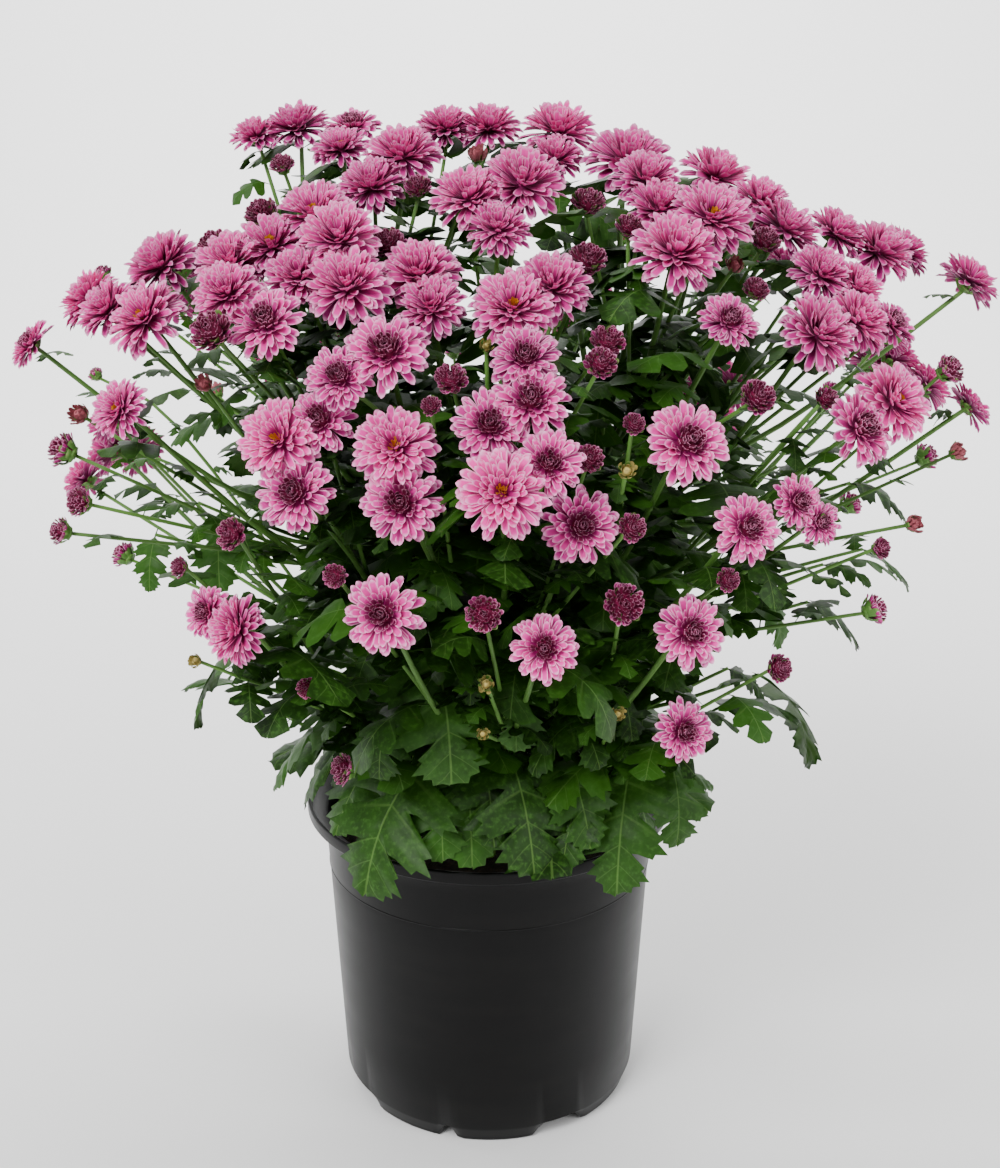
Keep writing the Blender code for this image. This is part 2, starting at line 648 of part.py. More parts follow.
def keep_largest(mesh):
    """Keeps only the largest closed surface of a mesh."""
    work = bmesh.new()
    work.from_mesh(mesh)
    work.verts.ensure_lookup_table()
    seen, islands = set(), []
    for start in work.verts:
        if start in seen:
            continue
        island, stack = [], [start]
        seen.add(start)
        while stack:
            vertex = stack.pop()
            island.append(vertex)
            for edge in vertex.link_edges:
                other = edge.other_vert(vertex)
                if other not in seen:
                    seen.add(other)
                    stack.append(other)
        islands.append(island)
    islands.sort(key=len)
    loose = [vertex for island in islands[:-1] for vertex in island]
    bmesh.ops.delete(work, geom=loose, context="VERTS")
    work.to_mesh(mesh)
    work.free()


def smooth(thing, angle):
    """Smooth shading with sharp edges past an angle."""
    thing.data.shade_smooth()
    thing.data.set_sharp_from_angle(angle=math.radians(angle))


def turned(name, profile, sides, surface):
    """A closed turned form from a profile that starts and ends on the axis."""
    points, faces = [np.array((0.0, 0.0, profile[0][1]))], []
    rings = profile[1:-1]
    for radius, height in rings:
        points += ring(np.zeros(3), np.array((0.0, 0.0, 1.0)), radius, height, sides)
    points.append(np.array((0.0, 0.0, profile[-1][1])))
    faces += fan(0, 1, sides, False)
    for k in range(len(rings) - 1):
        faces += band((1 + k * sides, sides), (1 + (k + 1) * sides, sides))
    faces += fan(len(points) - 1, 1 + (len(rings) - 1) * sides, sides, True)
    return add_object(name, points, faces, surface)


def cut(body, cutter):
    """Takes a cutter's form out of a body."""
    cutter.hide_render = True
    cutter.display_type = "WIRE"
    modifier = body.modifiers.new("Cut", "BOOLEAN")
    modifier.operation = "DIFFERENCE"
    modifier.object = cutter


def wall_radius(height):
    """The pot's outer radius between its foot and the lip."""
    share = (height - FOOT_RISE) / (POT_HEIGHT - 0.006 - FOOT_RISE)
    return WALL_RADIUS_LOW + (WALL_RADIUS_TOP - WALL_RADIUS_LOW) * share


def make_pot(surface):
    """The pot: floor, wall with its step ring, and the flared lip that turns down at its edge."""
    under_lip = POT_HEIGHT - LIP_DEPTH - 0.003
    outside = [(0.0, 0.0), (FOOT_RADIUS - 0.002, 0.0), (FOOT_RADIUS, 0.002), (WALL_RADIUS_LOW, FOOT_RISE)]
    outside += [(wall_radius(RING_HEIGHT) - RING_STEP / 2, RING_HEIGHT - 0.0006)]
    outside += [(wall_radius(RING_HEIGHT) + RING_STEP / 2, RING_HEIGHT)]
    outside += [(wall_radius(under_lip), under_lip), (LIP_RADIUS - 0.0015, POT_HEIGHT - LIP_DEPTH)]
    outside += [(LIP_RADIUS, POT_HEIGHT - LIP_DEPTH + 0.0015), (LIP_RADIUS, POT_HEIGHT - 0.001)]
    inside = [(LIP_RADIUS - 0.001, POT_HEIGHT), (LIP_RADIUS - WALL_THICK, POT_HEIGHT)]
    inside += [(wall_radius(under_lip) - WALL_THICK, under_lip)]
    inside += [(WALL_RADIUS_LOW - WALL_THICK, FOOT_RISE + 0.001), (FOOT_RADIUS - 0.006, FLOOR_TOP), (0.0, FLOOR_TOP)]
    pot = turned("pot", outside + inside, POT_SIDES, surface)
    for number in range(8):
        angle = SCALLOP_FIRST + number * math.pi / 4
        width = SCALLOP_WIDE if number % 2 else SCALLOP_NARROW
        cut(pot, scallop(number, angle, width))
    smooth(pot, 30)
    return pot


def scallop(number, angle, width):
    """A wedge that cuts one scallop in the foot, with a sloping roof that rises outwards."""
    out = np.array((math.cos(angle), math.sin(angle), 0.0))
    side = np.array((-out[1], out[0], 0.0))
    up = np.array((0.0, 0.0, 1.0))
    deep, far = FOOT_RADIUS - SCALLOP_REACH, FOOT_RADIUS + 0.010
    # Across the scallop: wide at the surface it stands on and narrower at its roof
    section = [(-0.5, -0.002), (0.5, -0.002), (0.30, 0.0), (-0.30, 0.0)]
    points = []
    for reach, roof in ((deep, 0.0035), (far, SCALLOP_HEIGHT)):
        for share, height in section:
            tall = height if height < 0 else roof
            points.append(out * reach + side * share * width + up * tall)
    faces = [(3, 2, 1, 0), (4, 5, 6, 7), (0, 1, 5, 4), (1, 2, 6, 5), (2, 3, 7, 6), (3, 0, 4, 7)]
    return add_object(f"scallop_{number}", points, faces, None)


def make_soil(surface):
    """The root ball, a little below the lip, with a hole for each stem."""
    low = FLOOR_TOP + GAP
    ring_inside = wall_radius(RING_HEIGHT) - WALL_THICK - 0.0022
    profile = [(0.0, low), (FOOT_RADIUS - 0.008, low), (WALL_RADIUS_LOW - WALL_THICK - 0.0018, FOOT_RISE + 0.004)]
    profile += [(ring_inside, RING_HEIGHT - 0.004), (ring_inside, SOIL_RIM), (0.060, SOIL_TOP - 0.001)]
    profile += [(0.030, SOIL_TOP + 0.002), (0.0, SOIL_TOP)]
    soil = turned("soil", profile, SOIL_SIDES, surface)
    for number in range(STEMS):
        place = stem_point(number, 0.0) - np.array((0.0, 0.0, GAP))
        path = [place, place + np.array((0.0, 0.0, 0.060)) + stem_way(number) * 0.0022]
        cut(soil, add_object(f"hole_{number}", *tube_mesh(path, (STEM_HOLE, STEM_HOLE + 0.0012), 6), None))
    smooth(soil, 40)
    return soil


def make_plant(green, pink):
    """Leafy stems with their stalks, half-open heads, buds and leaves, and the sprays of open blooms."""
    blooms = [head for name, rows in SPRAYS.items() for head in read_heads(rows, name)] + far_sprays()
    halves, buds = read_heads(HALF_OPEN, ""), read_heads(BUDS, "")
    settle(blooms + halves + buds)
    heads = blooms + halves + buds
    plans = plan_sprays(blooms, halves + buds)
    shapes = [[] for _ in range(STEMS)]
    stem_points = [[] for _ in range(STEMS)]
    for number in range(STEMS):
        path = [stem_point(number, share) for share in np.linspace(0.0, 1.0, 6)]
        radii = np.linspace(STEM_RADIUS_LOW, STEM_RADIUS_TOP, len(path))
        shapes[number].append(tube_mesh(path, radii, 4))
        stem_points[number] += dense(path)
    for plan in plans:
        number = plan["stem"]
        for head, stalk in zip(plan["heads"], plan["stalks"]):
            stem_points[number] += dense(stalk)
            cup = 0.26 * head.radius if head.spray else STALK_RADIUS * 1.3
            radii = [STALK_RADIUS] * (len(stalk) - 1) + [cup]
            if head is plan["heads"][0]:
                # The branch runs on into the first head's stalk
                radii = [BRANCH_RADIUS] * len(plan["branch"]) + radii[1:]
                stalk = plan["branch"] + stalk[1:]
                stem_points[number] += dense(plan["branch"])
            shapes[number].append(tube_mesh(stalk, radii, 3))
            if not head.spray:
                shapes[number].append(head_mesh(head, 5))
    leaves = grow_leaves(plans, stem_points, heads)
    for number in range(STEMS):
        shapes[number] += [leaf_mesh(leaf) for leaf in leaves[number]]
        fuse(f"leafy_stem_{number + 1}", shapes[number], green)
    for plan in plans:
        members = [head for head in plan["heads"] if head.spray]
        fuse("spray_" + plan["name"], [bloom_mesh(head, PETALS) for head in members], pink)


def main():
    for old in list(bpy.data.objects):
        bpy.data.objects.remove(old, do_unlink=True)
    black = material("black_polypropylene", (0.12, 0.12, 0.11), 0.42)
    peat = material("peat", (0.16, 0.11, 0.08), 0.95)
    green = material("leaf_green", (0.16, 0.29, 0.11), 0.55)
    pink = material("petal_pink", (0.80, 0.40, 0.65), 0.60)
    make_pot(black)
    make_soil(peat)
    make_plant(green, pink)


main()
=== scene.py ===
"""Pot chrysanthemum: its looks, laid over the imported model. Metres, +Z up, the viewer on the -Y side."""
import math

import bpy
import numpy as np
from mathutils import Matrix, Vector, noise


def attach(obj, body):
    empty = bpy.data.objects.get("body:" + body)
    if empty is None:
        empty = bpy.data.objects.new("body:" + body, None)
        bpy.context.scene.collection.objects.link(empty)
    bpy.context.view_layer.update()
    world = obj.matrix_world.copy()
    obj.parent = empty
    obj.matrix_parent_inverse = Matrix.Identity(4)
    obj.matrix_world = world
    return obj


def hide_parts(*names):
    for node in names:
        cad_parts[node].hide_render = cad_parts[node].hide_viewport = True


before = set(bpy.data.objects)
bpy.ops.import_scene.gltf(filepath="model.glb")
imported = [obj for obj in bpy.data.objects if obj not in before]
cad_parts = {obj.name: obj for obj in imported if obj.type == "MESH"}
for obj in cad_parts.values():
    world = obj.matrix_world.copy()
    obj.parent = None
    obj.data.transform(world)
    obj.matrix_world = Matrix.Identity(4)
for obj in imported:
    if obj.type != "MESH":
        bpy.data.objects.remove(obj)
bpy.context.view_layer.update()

# View: a standing person's look down at a plant on a table. The heads further on are placed as this eye sees
# them, as points across and down a picture of which EYE_ACROSS and EYE_DOWN are the middle.
EYE = np.array((0.0062, -0.820, 0.564))
EYE_PITCH = math.radians(18.13)
EYE_SCALE = 1600.0
EYE_ACROSS = 500.0
EYE_DOWN = 584.0
camera_data = bpy.data.cameras.new("camera")
camera_data.lens = camera_data.sensor_width * EYE_SCALE / (2 * EYE_DOWN)
camera = bpy.data.objects.new("camera", camera_data)
camera.location = EYE
camera.rotation_euler = (math.pi / 2 - EYE_PITCH, 0.0, 0.0)
bpy.context.collection.objects.link(camera)
bpy.context.scene.camera = camera


# Nursery pot: one piece of injection-moulded black polypropylene. A step rings the wall where a stack of pots
# parts, the lip flares and turns down at its edge, and scallops in the foot let water out on a flat floor.
POT_HEIGHT = 0.1755
LIP_RADIUS = 0.1015
LIP_DEPTH = 0.007
WALL_RADIUS_TOP = 0.0919
WALL_RADIUS_LOW = 0.0836
FOOT_RADIUS = 0.0806
FOOT_RISE = 0.010
FLOOR_TOP = 0.006
WALL_THICK = 0.0022
RING_HEIGHT = 0.1364
RING_STEP = 0.0008
POT_SIDES = 144
SCALLOP_HEIGHT = 0.0075
SCALLOP_WIDE = 0.034
SCALLOP_NARROW = 0.011
SCALLOP_REACH = 0.016
SCALLOP_FIRST = math.radians(-106)
SCALLOPS = 8
# The small ring that the middles of the underside and of the floor are closed from
MIDDLE_RADIUS = 0.020
LIP_SLOPE = 0.003
# The scale of a pattern with one grain to the millimetre
PER_MM = 1000.0


def hex_colour(text):
    """A linear colour from an sRGB hex value."""
    shares = [int(text[k:k + 2], 16) / 255 for k in (1, 3, 5)]
    return (*[c / 12.92 if c < 0.04045 else ((c + 0.055) / 1.055) ** 2.4 for c in shares], 1.0)


def feed(node, inputs):
    """Gives a node's inputs numbers, sRGB hex colours, or what other nodes put out, in order or by name."""
    for key, value in inputs.items() if isinstance(inputs, dict) else enumerate(inputs):
        value = hex_colour(value) if isinstance(value, str) else value
        value = value.outputs[0] if isinstance(value, bpy.types.Node) else value
        if isinstance(value, bpy.types.NodeSocket):
            node.id_data.links.new(value, node.inputs[key])
        else:
            node.inputs[key].default_value = value


def add_node(tree, kind, inputs, **settings):
    """A shader node with its settings and its inputs."""
    made = tree.nodes.new("ShaderNode" + kind)
    for key, value in settings.items():
        setattr(made, key, value)
    feed(made, inputs)
    return made


def new_surface(name, inputs):
    """A material with its node tree and its shader, which starts from some inputs."""
    made = bpy.data.materials.new(name)
    made.use_nodes = True
    shader = made.node_tree.nodes["Principled BSDF"]
    feed(shader, inputs)
    return made, made.node_tree, shader


def turn_on_axis(name, profile, sides):
    """A closed turned form: a small ring, extruded and resized along the profile, with its ends filled."""
    bpy.ops.object.select_all(action="DESELECT")
    radius, height = profile[0]
    bpy.ops.mesh.primitive_circle_add(vertices=sides, radius=radius, location=(0.0, 0.0, height))
    made = bpy.context.object
    made.name = name
    bpy.ops.object.transform_apply(location=True, rotation=False, scale=False)
    bpy.ops.object.mode_set(mode="EDIT")
    bpy.ops.mesh.select_all(action="SELECT")
    for new_radius, new_height in profile[1:]:
        bpy.ops.mesh.extrude_region_move(TRANSFORM_OT_translate={"value": (0.0, 0.0, new_height - height)})
        share = new_radius / radius
        bpy.ops.transform.resize(value=(share, share, 1.0), center_override=(0.0, 0.0, new_height))
        radius, height = new_radius, new_height
    bpy.ops.mesh.select_all(action="SELECT")
    bpy.ops.mesh.fill_holes(sides=0)
    bpy.ops.mesh.normals_make_consistent(inside=False)
    bpy.ops.object.mode_set(mode="OBJECT")
    return made


def mesh_points(thing):
    """A mesh's points as an array."""
    flat = np.empty(len(thing.data.vertices) * 3)
    thing.data.vertices.foreach_get("co", flat)
    return flat.reshape(-1, 3)


def move_points(thing, points):
    """Puts a mesh's points at new places."""
    thing.data.vertices.foreach_set("co", points.ravel())
    thing.data.update()


def wall_radius(height):
    """The pot's outer radius between its foot and the lip."""
    share = (height - FOOT_RISE) / (POT_HEIGHT - 0.006 - FOOT_RISE)
    return WALL_RADIUS_LOW + (WALL_RADIUS_TOP - WALL_RADIUS_LOW) * share


def rounded(corner, radius, start, end, steps=4):
    """Points of a profile round a corner, from one angle to another."""
    angles = [math.radians(start + (end - start) * k / steps) for k in range(steps + 1)]
    return [(corner[0] + radius * math.cos(a), corner[1] + radius * math.sin(a)) for a in angles]


def eased_share(values, low, high):
    """How far values are from low to high, eased at both ends."""
    share = np.clip((values - low) / (high - low), 0.0, 1.0)
    return share * share * (3 - 2 * share)


# Up the outside, from the underside's middle to the lip
under_lip = POT_HEIGHT - LIP_DEPTH - LIP_SLOPE
lip_foot = POT_HEIGHT - LIP_DEPTH
ring_radius = wall_radius(RING_HEIGHT)
profile = [(MIDDLE_RADIUS, 0.0)] + [(FOOT_RADIUS - back / 1000, 0.0) for back in (20, 17, 14, 11, 8, 5)]
profile += rounded((FOOT_RADIUS - 0.002, 0.002), 0.002, -90, 0)
profile += [(FOOT_RADIUS + (WALL_RADIUS_LOW - FOOT_RADIUS) * k / 5, 0.002 + 0.008 * k / 5)
            for k in range(1, 6)]
profile += [(wall_radius(height), height) for height in (0.04, 0.08, 0.115, RING_HEIGHT - 0.004)]
profile += [(ring_radius - RING_STEP / 2, RING_HEIGHT - 0.0007)]
profile += rounded((ring_radius + RING_STEP / 2 - 0.0005, RING_HEIGHT), 0.0005, -60, 60)
profile += [(wall_radius(RING_HEIGHT + 0.012) + RING_STEP / 4, RING_HEIGHT + 0.012)]
profile += [(wall_radius(under_lip - 0.008), under_lip - 0.008), (wall_radius(under_lip), under_lip - 0.002)]
profile += [(wall_radius(under_lip) + 0.0015, under_lip + 0.0005), (LIP_RADIUS - 0.003, lip_foot - 0.0006)]
profile += rounded((LIP_RADIUS - 0.001, lip_foot + 0.001), 0.001, -90, 0)
profile += rounded((LIP_RADIUS - 0.0011, POT_HEIGHT - 0.0011), 0.0011, 0, 180, 8)
# Down the inside, to the middle of the floor
profile += [(LIP_RADIUS - WALL_THICK - 0.0006, POT_HEIGHT - 0.004)]
profile += [(wall_radius(under_lip) - WALL_THICK + 0.002, under_lip + 0.003)]
profile += [(wall_radius(under_lip) - WALL_THICK, under_lip)]
profile += [(WALL_RADIUS_LOW - WALL_THICK, FOOT_RISE + 0.001), (FOOT_RADIUS - 0.006, FLOOR_TOP)]
profile += [(MIDDLE_RADIUS, FLOOR_TOP)]
pot = turn_on_axis("nursery_pot", profile, POT_SIDES)

# The scallops: foot and underside are pressed up round eight middles, wide and narrow by turns
points = mesh_points(pot)
reach, angle = np.hypot(points[:, 0], points[:, 1]), np.arctan2(points[:, 1], points[:, 0])
scallop_inside = FOOT_RADIUS - SCALLOP_REACH
roof = np.zeros(len(points))
for number in range(SCALLOPS):
    width = SCALLOP_WIDE if number % 2 else SCALLOP_NARROW
    aside = (angle - SCALLOP_FIRST - number * 2 * math.pi / SCALLOPS + math.pi) % (2 * math.pi) - math.pi
    inside = eased_share(-np.abs(aside) * FOOT_RADIUS, -0.5 * width, -0.28 * width)
    rising_over = (scallop_inside - 0.002, scallop_inside, FOOT_RADIUS)
    rise = np.interp(reach, rising_over, (0, 0.0035, SCALLOP_HEIGHT))
    roof = np.maximum(roof, inside * rise)
foot = (points[:, 2] < FOOT_RISE - 1e-5) & (reach > scallop_inside - 0.0025)
foot &= ~((np.abs(points[:, 2] - FLOOR_TOP) < 1e-5) & (reach < FOOT_RADIUS - 0.004))
points[foot, 2] = roof[foot] + points[foot, 2] * (1 - roof[foot] / FOOT_RISE)
move_points(pot, points)
pot.data.shade_smooth()
pot.data.set_sharp_from_angle(angle=math.radians(40))

# Moulded polypropylene: a soft gloss over a spark-eroded grain, drawn at about 1 mm so that it shows, with
# faint flow marks and dust
black_pp, tree, shader = new_surface("moulded_black_polypropylene", {"IOR": 1.49, "Specular IOR Level": 0.16})
where = add_node(tree, "TexCoord", {}).outputs["Object"]
grain = add_node(tree, "TexNoise", {"Vector": where, "Scale": 0.9 * PER_MM, "Detail": 3.0})
stretched = add_node(tree, "Mapping", {"Vector": where, "Scale": (14.0, 14.0, 90.0)})
flow = add_node(tree, "TexNoise", {"Vector": stretched, "Scale": 1.0, "Detail": 4.0})
dust = add_node(tree, "MapRange", (flow, 0.45, 0.80))
feed(shader, {"Base Color": add_node(tree, "MixRGB", (dust, "#040404", "#0b0a09")),
              "Roughness": add_node(tree, "MapRange", (flow, 0.0, 1.0, 0.30, 0.40)),
              "Normal": add_node(tree, "Bump", {"Height": grain, "Strength": 0.10, "Distance": 0.0002})})
pot.data.materials.append(black_pp)
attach(pot, "root")
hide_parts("pot")


# Potting mix: dark moist peat with bark crumbs, filled to a finger's width under the lip and a little heaped
# in the middle, where the rooted cuttings stand in it.
SOIL_TOP = 0.152
SOIL_RIM = 0.148
SOIL_SIDES = 96
# What parts pieces that would touch
GAP = 0.0003

inside = wall_radius(RING_HEIGHT) - WALL_THICK - 0.0022
profile = [(MIDDLE_RADIUS, FLOOR_TOP + GAP), (FOOT_RADIUS - 0.008, FLOOR_TOP + GAP)]
profile += [(WALL_RADIUS_LOW - WALL_THICK - 0.0018, FOOT_RISE + 0.004), (inside, RING_HEIGHT - 0.004)]
profile += [(inside, SOIL_RIM - 0.002), (inside - 0.001, SOIL_RIM)]
heap_reach = (0.0, 0.030, 0.060, inside)
heap_height = (SOIL_TOP, SOIL_TOP + 0.002, SOIL_TOP - 0.001, SOIL_RIM)
profile += [(radius, np.interp(radius, heap_reach, heap_height))
            for radius in np.linspace(inside - 0.003, 0.003, 34)]
soil = turn_on_axis("potting_mix", profile, SOIL_SIDES)
points = mesh_points(soil)
for point in points:
    if point[2] > SOIL_RIM - 0.0005:
        crumb = noise.fractal(Vector(point) * 160, 0.7, 2.2, 4)
        point[2] += 0.0013 * crumb
        point[:2] *= 1 + 0.0006 * noise.noise(Vector(point) * 400)
move_points(soil, points)
soil.data.shade_smooth()

# Moist peat: near black, matt, with brown crumbs of about 3 mm and fine grit
peat, tree, shader = new_surface("moist_peat", {"Roughness": 0.92, "IOR": 1.45})
where = add_node(tree, "TexCoord", {}).outputs["Object"]
crumbs = add_node(tree, "TexVoronoi", {"Vector": where, "Scale": 0.3 * PER_MM})
grit = add_node(tree, "TexNoise", {"Vector": where, "Scale": 0.7 * PER_MM, "Detail": 5.0})
feed(shader, {"Base Color": add_node(tree, "MixRGB", (crumbs, "#3a291d", "#120c08")),
              "Normal": add_node(tree, "Bump", {"Height": grit, "Strength": 0.8, "Distance": 0.001})})
soil.data.materials.append(peat)
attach(soil, "root")
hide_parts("soil")


# Heads: every bloom, half-open head and bud has a place, a radius, a facing, a spray that it belongs to and a
# look. The near ones are read as the eye sees them, and a rule fills the far side.
CROWN_MIDDLE = np.array((0.0, 0.0, 0.370))
CROWN_REACH = np.array((0.250, 0.200, 0.170))
# Spray by spray: across, down, span in mm, mm set back from the crown, turn to the right in degrees
SPRAYS = {
    "crest_left": ((294, 122, 35, 20, 0), (259, 140, 28, 40, 0)),
    "crest_left_low": ((331, 148, 28, 0, 0), (361, 125, 28, 25, 0)),
    "crest_mid_left": ((407, 149, 36, 10, 0), (363, 180, 32, 0, 0)),
    "crest_mid": ((492, 123, 32, 30, 0), (442, 128, 30, 40, 0)),
    "crest_mid_right": ((561, 122, 37, 30, 0), (555, 156, 28, 10, 0)),
    "crown_mid": ((524, 181, 38, -10, 0), (465, 196, 32, 0, 0), (501, 230, 28, 0, 0)),
    "crest_right": ((630, 153, 41, 10, 0),),
    "crest_right_low": ((658, 209, 32, 20, 0), (644, 187, 32, 30, 0)),
    "crest_far_right": ((721, 167, 38, 20, 20),),
    "left_top": ((316, 206, 35, 0, 0), (264, 243, 34, 0, 0), (232, 265, 32, 15, 0)),
    "left_bank": ((225, 294, 30, 0, 0), (274, 327, 33, -10, 0)),
    "mid_bank": ((345, 281, 37, -10, 0), (302, 281, 30, 15, 0), (343, 246, 36, 20, 0)),
    "mid_bank_right": ((419, 270, 35, 0, 0), (430, 304, 30, 20, 0)),
    "centre_top": ((518, 296, 36, -10, 0), (548, 287, 34, 10, 0)),
    "right_bank": ((671, 255, 38, -10, 0), (717, 215, 37, 0, 0)),
    "right_top": ((790, 220, 36, 10, 25), (762, 201, 30, 30, 0)),
    "right_shoulder": ((866, 251, 38, 10, 10), (925, 248, 32, 20, 40), (829, 229, 32, 30, 20)),
    "right_back": ((818, 274, 30, 25, 0), (852, 293, 28, 35, 10)),
    "right_edge": ((968, 282, 33, 0, 50),),
    "left_shoulder": ((156, 259, 37, 10, -15),),
    "left_edge": ((159, 318, 36, 0, -10), (110, 317, 31, 20, -20), (79, 294, 32, 20, -40)),
    "left_tip": ((30, 343, 27, 0, -25),),
    "left_low": ((119, 409, 27, 0, -15),),
    "centre_left": ((391, 348, 35, 0, 0), (335, 380, 28, 0, 0)),
    "centre": ((525, 358, 29, 0, 0), (529, 404, 32, 15, 0), (491, 424, 31, -5, 0)),
    "front_left": ((281, 431, 35, 0, -5), (318, 425, 28, 20, 0), (294, 496, 33, -5, -5)),
    "front_mid_left": ((395, 442, 34, 10, 0), (401, 508, 33, -5, 0)),
    "front_mid": ((501, 494, 36, -10, 0), (549, 466, 28, 5, 0)),
    "front_mid_right": ((585, 526, 32, 0, 5),),
    "front_right": ((688, 442, 35, 0, 5),),
    "right_small": ((730, 320, 26, 0, 0),),
    "right_cluster": ((804, 335, 37, 0, 10), (852, 318, 32, 15, 15), (905, 328, 26, 10, 20)),
    "right_low": ((905, 391, 38, 0, 15), (848, 440, 34, 0, 15)),
    "right_tip": ((970, 405, 26, 0, 60),),
    "right_skirt": ((747, 528, 29, 0, 5),),
    "right_pair": ((799, 502, 24, 0, 10), (821, 522, 20, -5, 10)),
    "low_right": ((691, 632, 31, 0, 5),),
    "low_right_tip": ((684, 731, 28, -5, 5),),
    "low_mid": ((544, 648, 29, 0, 0),),
    "low_left": ((382, 614, 33, -5, 0),),
    "low_left_edge": ((242, 633, 31, 0, -30), (200, 609, 24, 10, -20)),
}
HALF_OPEN = (
    (282, 164, 14, 10, 0), (419, 192, 15, 30, 0), (215, 246, 20, 20, 0), (384, 233, 19, 0, 0),
    (261, 213, 19, 20, -20), (590, 251, 20, 0, 0), (588, 202, 18, 15, 0), (627, 234, 15, 30, 0),
    (761, 246, 17, 40, 0), (756, 289, 14, 20, 0), (221, 340, 21, 0, 0), (79, 502, 16, 0, -20),
    (60, 531, 15, -5, -40), (62, 449, 19, 0, -60), (231, 534, 16, 0, -10), (179, 567, 11, 10, -30),
    (451, 378, 16, 0, 0), (431, 406, 10, 0, 0), (590, 458, 14, 0, 0), (608, 341, 17, 0, 0),
    (601, 363, 16, -5, 0), (634, 424, 11, 0, 0), (628, 528, 14, 0, 10), (950, 369, 18, 0, 20),
    (758, 397, 18, 0, 0), (829, 397, 13, 10, 0), (881, 548, 12, 0, 20), (728, 580, 12, 0, 0),
    (779, 668, 15, 0, 10), (335, 576, 12, 0, 0), (307, 688, 11, 0, 0), (875, 609, 17, 0, 70),
    (624, 604, 20, 0, 0), (484, 614, 18, 0, 0), (343, 769, 18, 0, -50),
)
BUDS = (
    (477, 154, 12, 40, 0), (735, 265, 10, 20, 0), (79, 414, 12, 10, 0), (204, 384, 10, 30, 0),
    (486, 344, 7, 0, 0), (627, 471, 9, 0, 0), (958, 452, 12, 0, 30), (914, 524, 11, 0, 20),
    (618, 714, 8, 0, 0), (486, 684, 9, 0, 0), (483, 734, 7, 0, 0), (195, 661, 8, 0, -20),
)
# Blooms whose golden eye shows, and young ones with flat rays round a dark centre; the others are full domes
GOLDEN_EYED = {
    (331, 148), (316, 206), (264, 243), (518, 296), (717, 215), (790, 220), (159, 318), (119, 409),
    (281, 431), (395, 442), (501, 494), (905, 391),
}
DARK_CENTRED = {
    (361, 125), (30, 343), (274, 327), (391, 348), (335, 380), (525, 358), (529, 404), (491, 424),
    (318, 425), (294, 496), (401, 508), (549, 466), (585, 526), (688, 442), (730, 320), (905, 328),
    (848, 440), (970, 405), (747, 528), (799, 502), (821, 522), (691, 632), (684, 731), (544, 648),
    (382, 614), (200, 609),
}
FAR_SPRAYS = 8
FAR_BLOOMS = (4, 4, 5)
FAR_SPAN = 0.036
FAR_SEED = 11
FAR_YOUNG = 26
# Where the far heads lie: from an azimuth on, over an arc, and from a height over the crown's middle down
FAR_SPREAD = (14, 152, 0.10, 0.15)
YOUNG_SPREAD = (12, 156, 0.12, 0.20)
YOUNG_SPANS = (0.010, 0.019)
YOUNG_CLEAR = 1.15

TOUCH_NEAR = 0.60
TOUCH_FAR = 0.68
CLEAR_ACROSS = 1.06
CLEAR_ALONG = 0.52
LEVEL_SLACK = 0.05
# How a head faces: out from the crown, up, and for the near ones towards the eye
OUTWARD = 0.62
UPWARD = 0.34
NEAR_LEAN = 0.36
GOLDEN = 0.618034
# How far each round moves heads: mates to each other, others apart and aside, and all back to their places
SETTLE_ROUNDS = 400
PULL = 0.30
PUSH = 0.06
SIDESTEP = 0.12
HOMING = 0.03


def unit(vector):
    """The vector's direction."""
    return vector / np.linalg.norm(vector)


def sight(across, down):
    """The direction in which the eye sees a point, for one metre straight ahead."""
    ahead = np.array((0.0, math.cos(EYE_PITCH), -math.sin(EYE_PITCH)))
    over = np.array((0.0, math.sin(EYE_PITCH), math.cos(EYE_PITCH)))
    right = np.array((1.0, 0.0, 0.0))
    return ahead + right * (across - EYE_ACROSS) / EYE_SCALE + over * (EYE_DOWN - down) / EYE_SCALE


def on_crown(across, down, set_back):
    """Where the line of sight meets the crown, or passes nearest to it, moved back along that line."""
    line = sight(across, down)
    start = (EYE - CROWN_MIDDLE) / CROWN_REACH
    step = line / CROWN_REACH
    a, b, c = step @ step, start @ step, start @ start - 1.0
    ahead = (-b - math.sqrt(max(b * b - a * c, 0.0))) / a
    return EYE + line * ahead + unit(line) * set_back


def units(vectors):
    """Directions of many vectors at once."""
    return vectors / np.linalg.norm(vectors, axis=-1, keepdims=True)


def facing(places, turns, leans):
    """The way heads face at their places: out from the crown, up and towards the eye, turned to its right."""
    out = (places - CROWN_MIDDLE) / CROWN_REACH ** 2
    out[..., 2] = np.maximum(out[..., 2], 0.0)
    way = units(out) * OUTWARD + (0.0, 0.0, UPWARD) - np.multiply.outer(leans, (0.0, 1.0, 0.0))
    cos, sin = np.cos(np.radians(turns)), np.sin(np.radians(turns))
    swung = (way[..., 0] * cos - way[..., 1] * sin, way[..., 0] * sin + way[..., 1] * cos, way[..., 2])
    return units(np.stack(swung, axis=-1))


class Head:
    """A bloom, half-open head or bud: its place, radius, facing, spray and look."""

    def __init__(self, place, span, turn, spray, look="dome"):
        self.place = place
        self.look = look
        self.radius = span / 2
        self.turn = turn
        self.spray = spray
        self.lean = 0.0 if spray.startswith("far") else NEAR_LEAN
        self.way = facing(place, turn, self.lean)


def look_of(across, down, usual):
    """The look of the head read at a point."""
    if (across, down) in GOLDEN_EYED:
        return "eyed"
    return "rayed" if (across, down) in DARK_CENTRED else usual


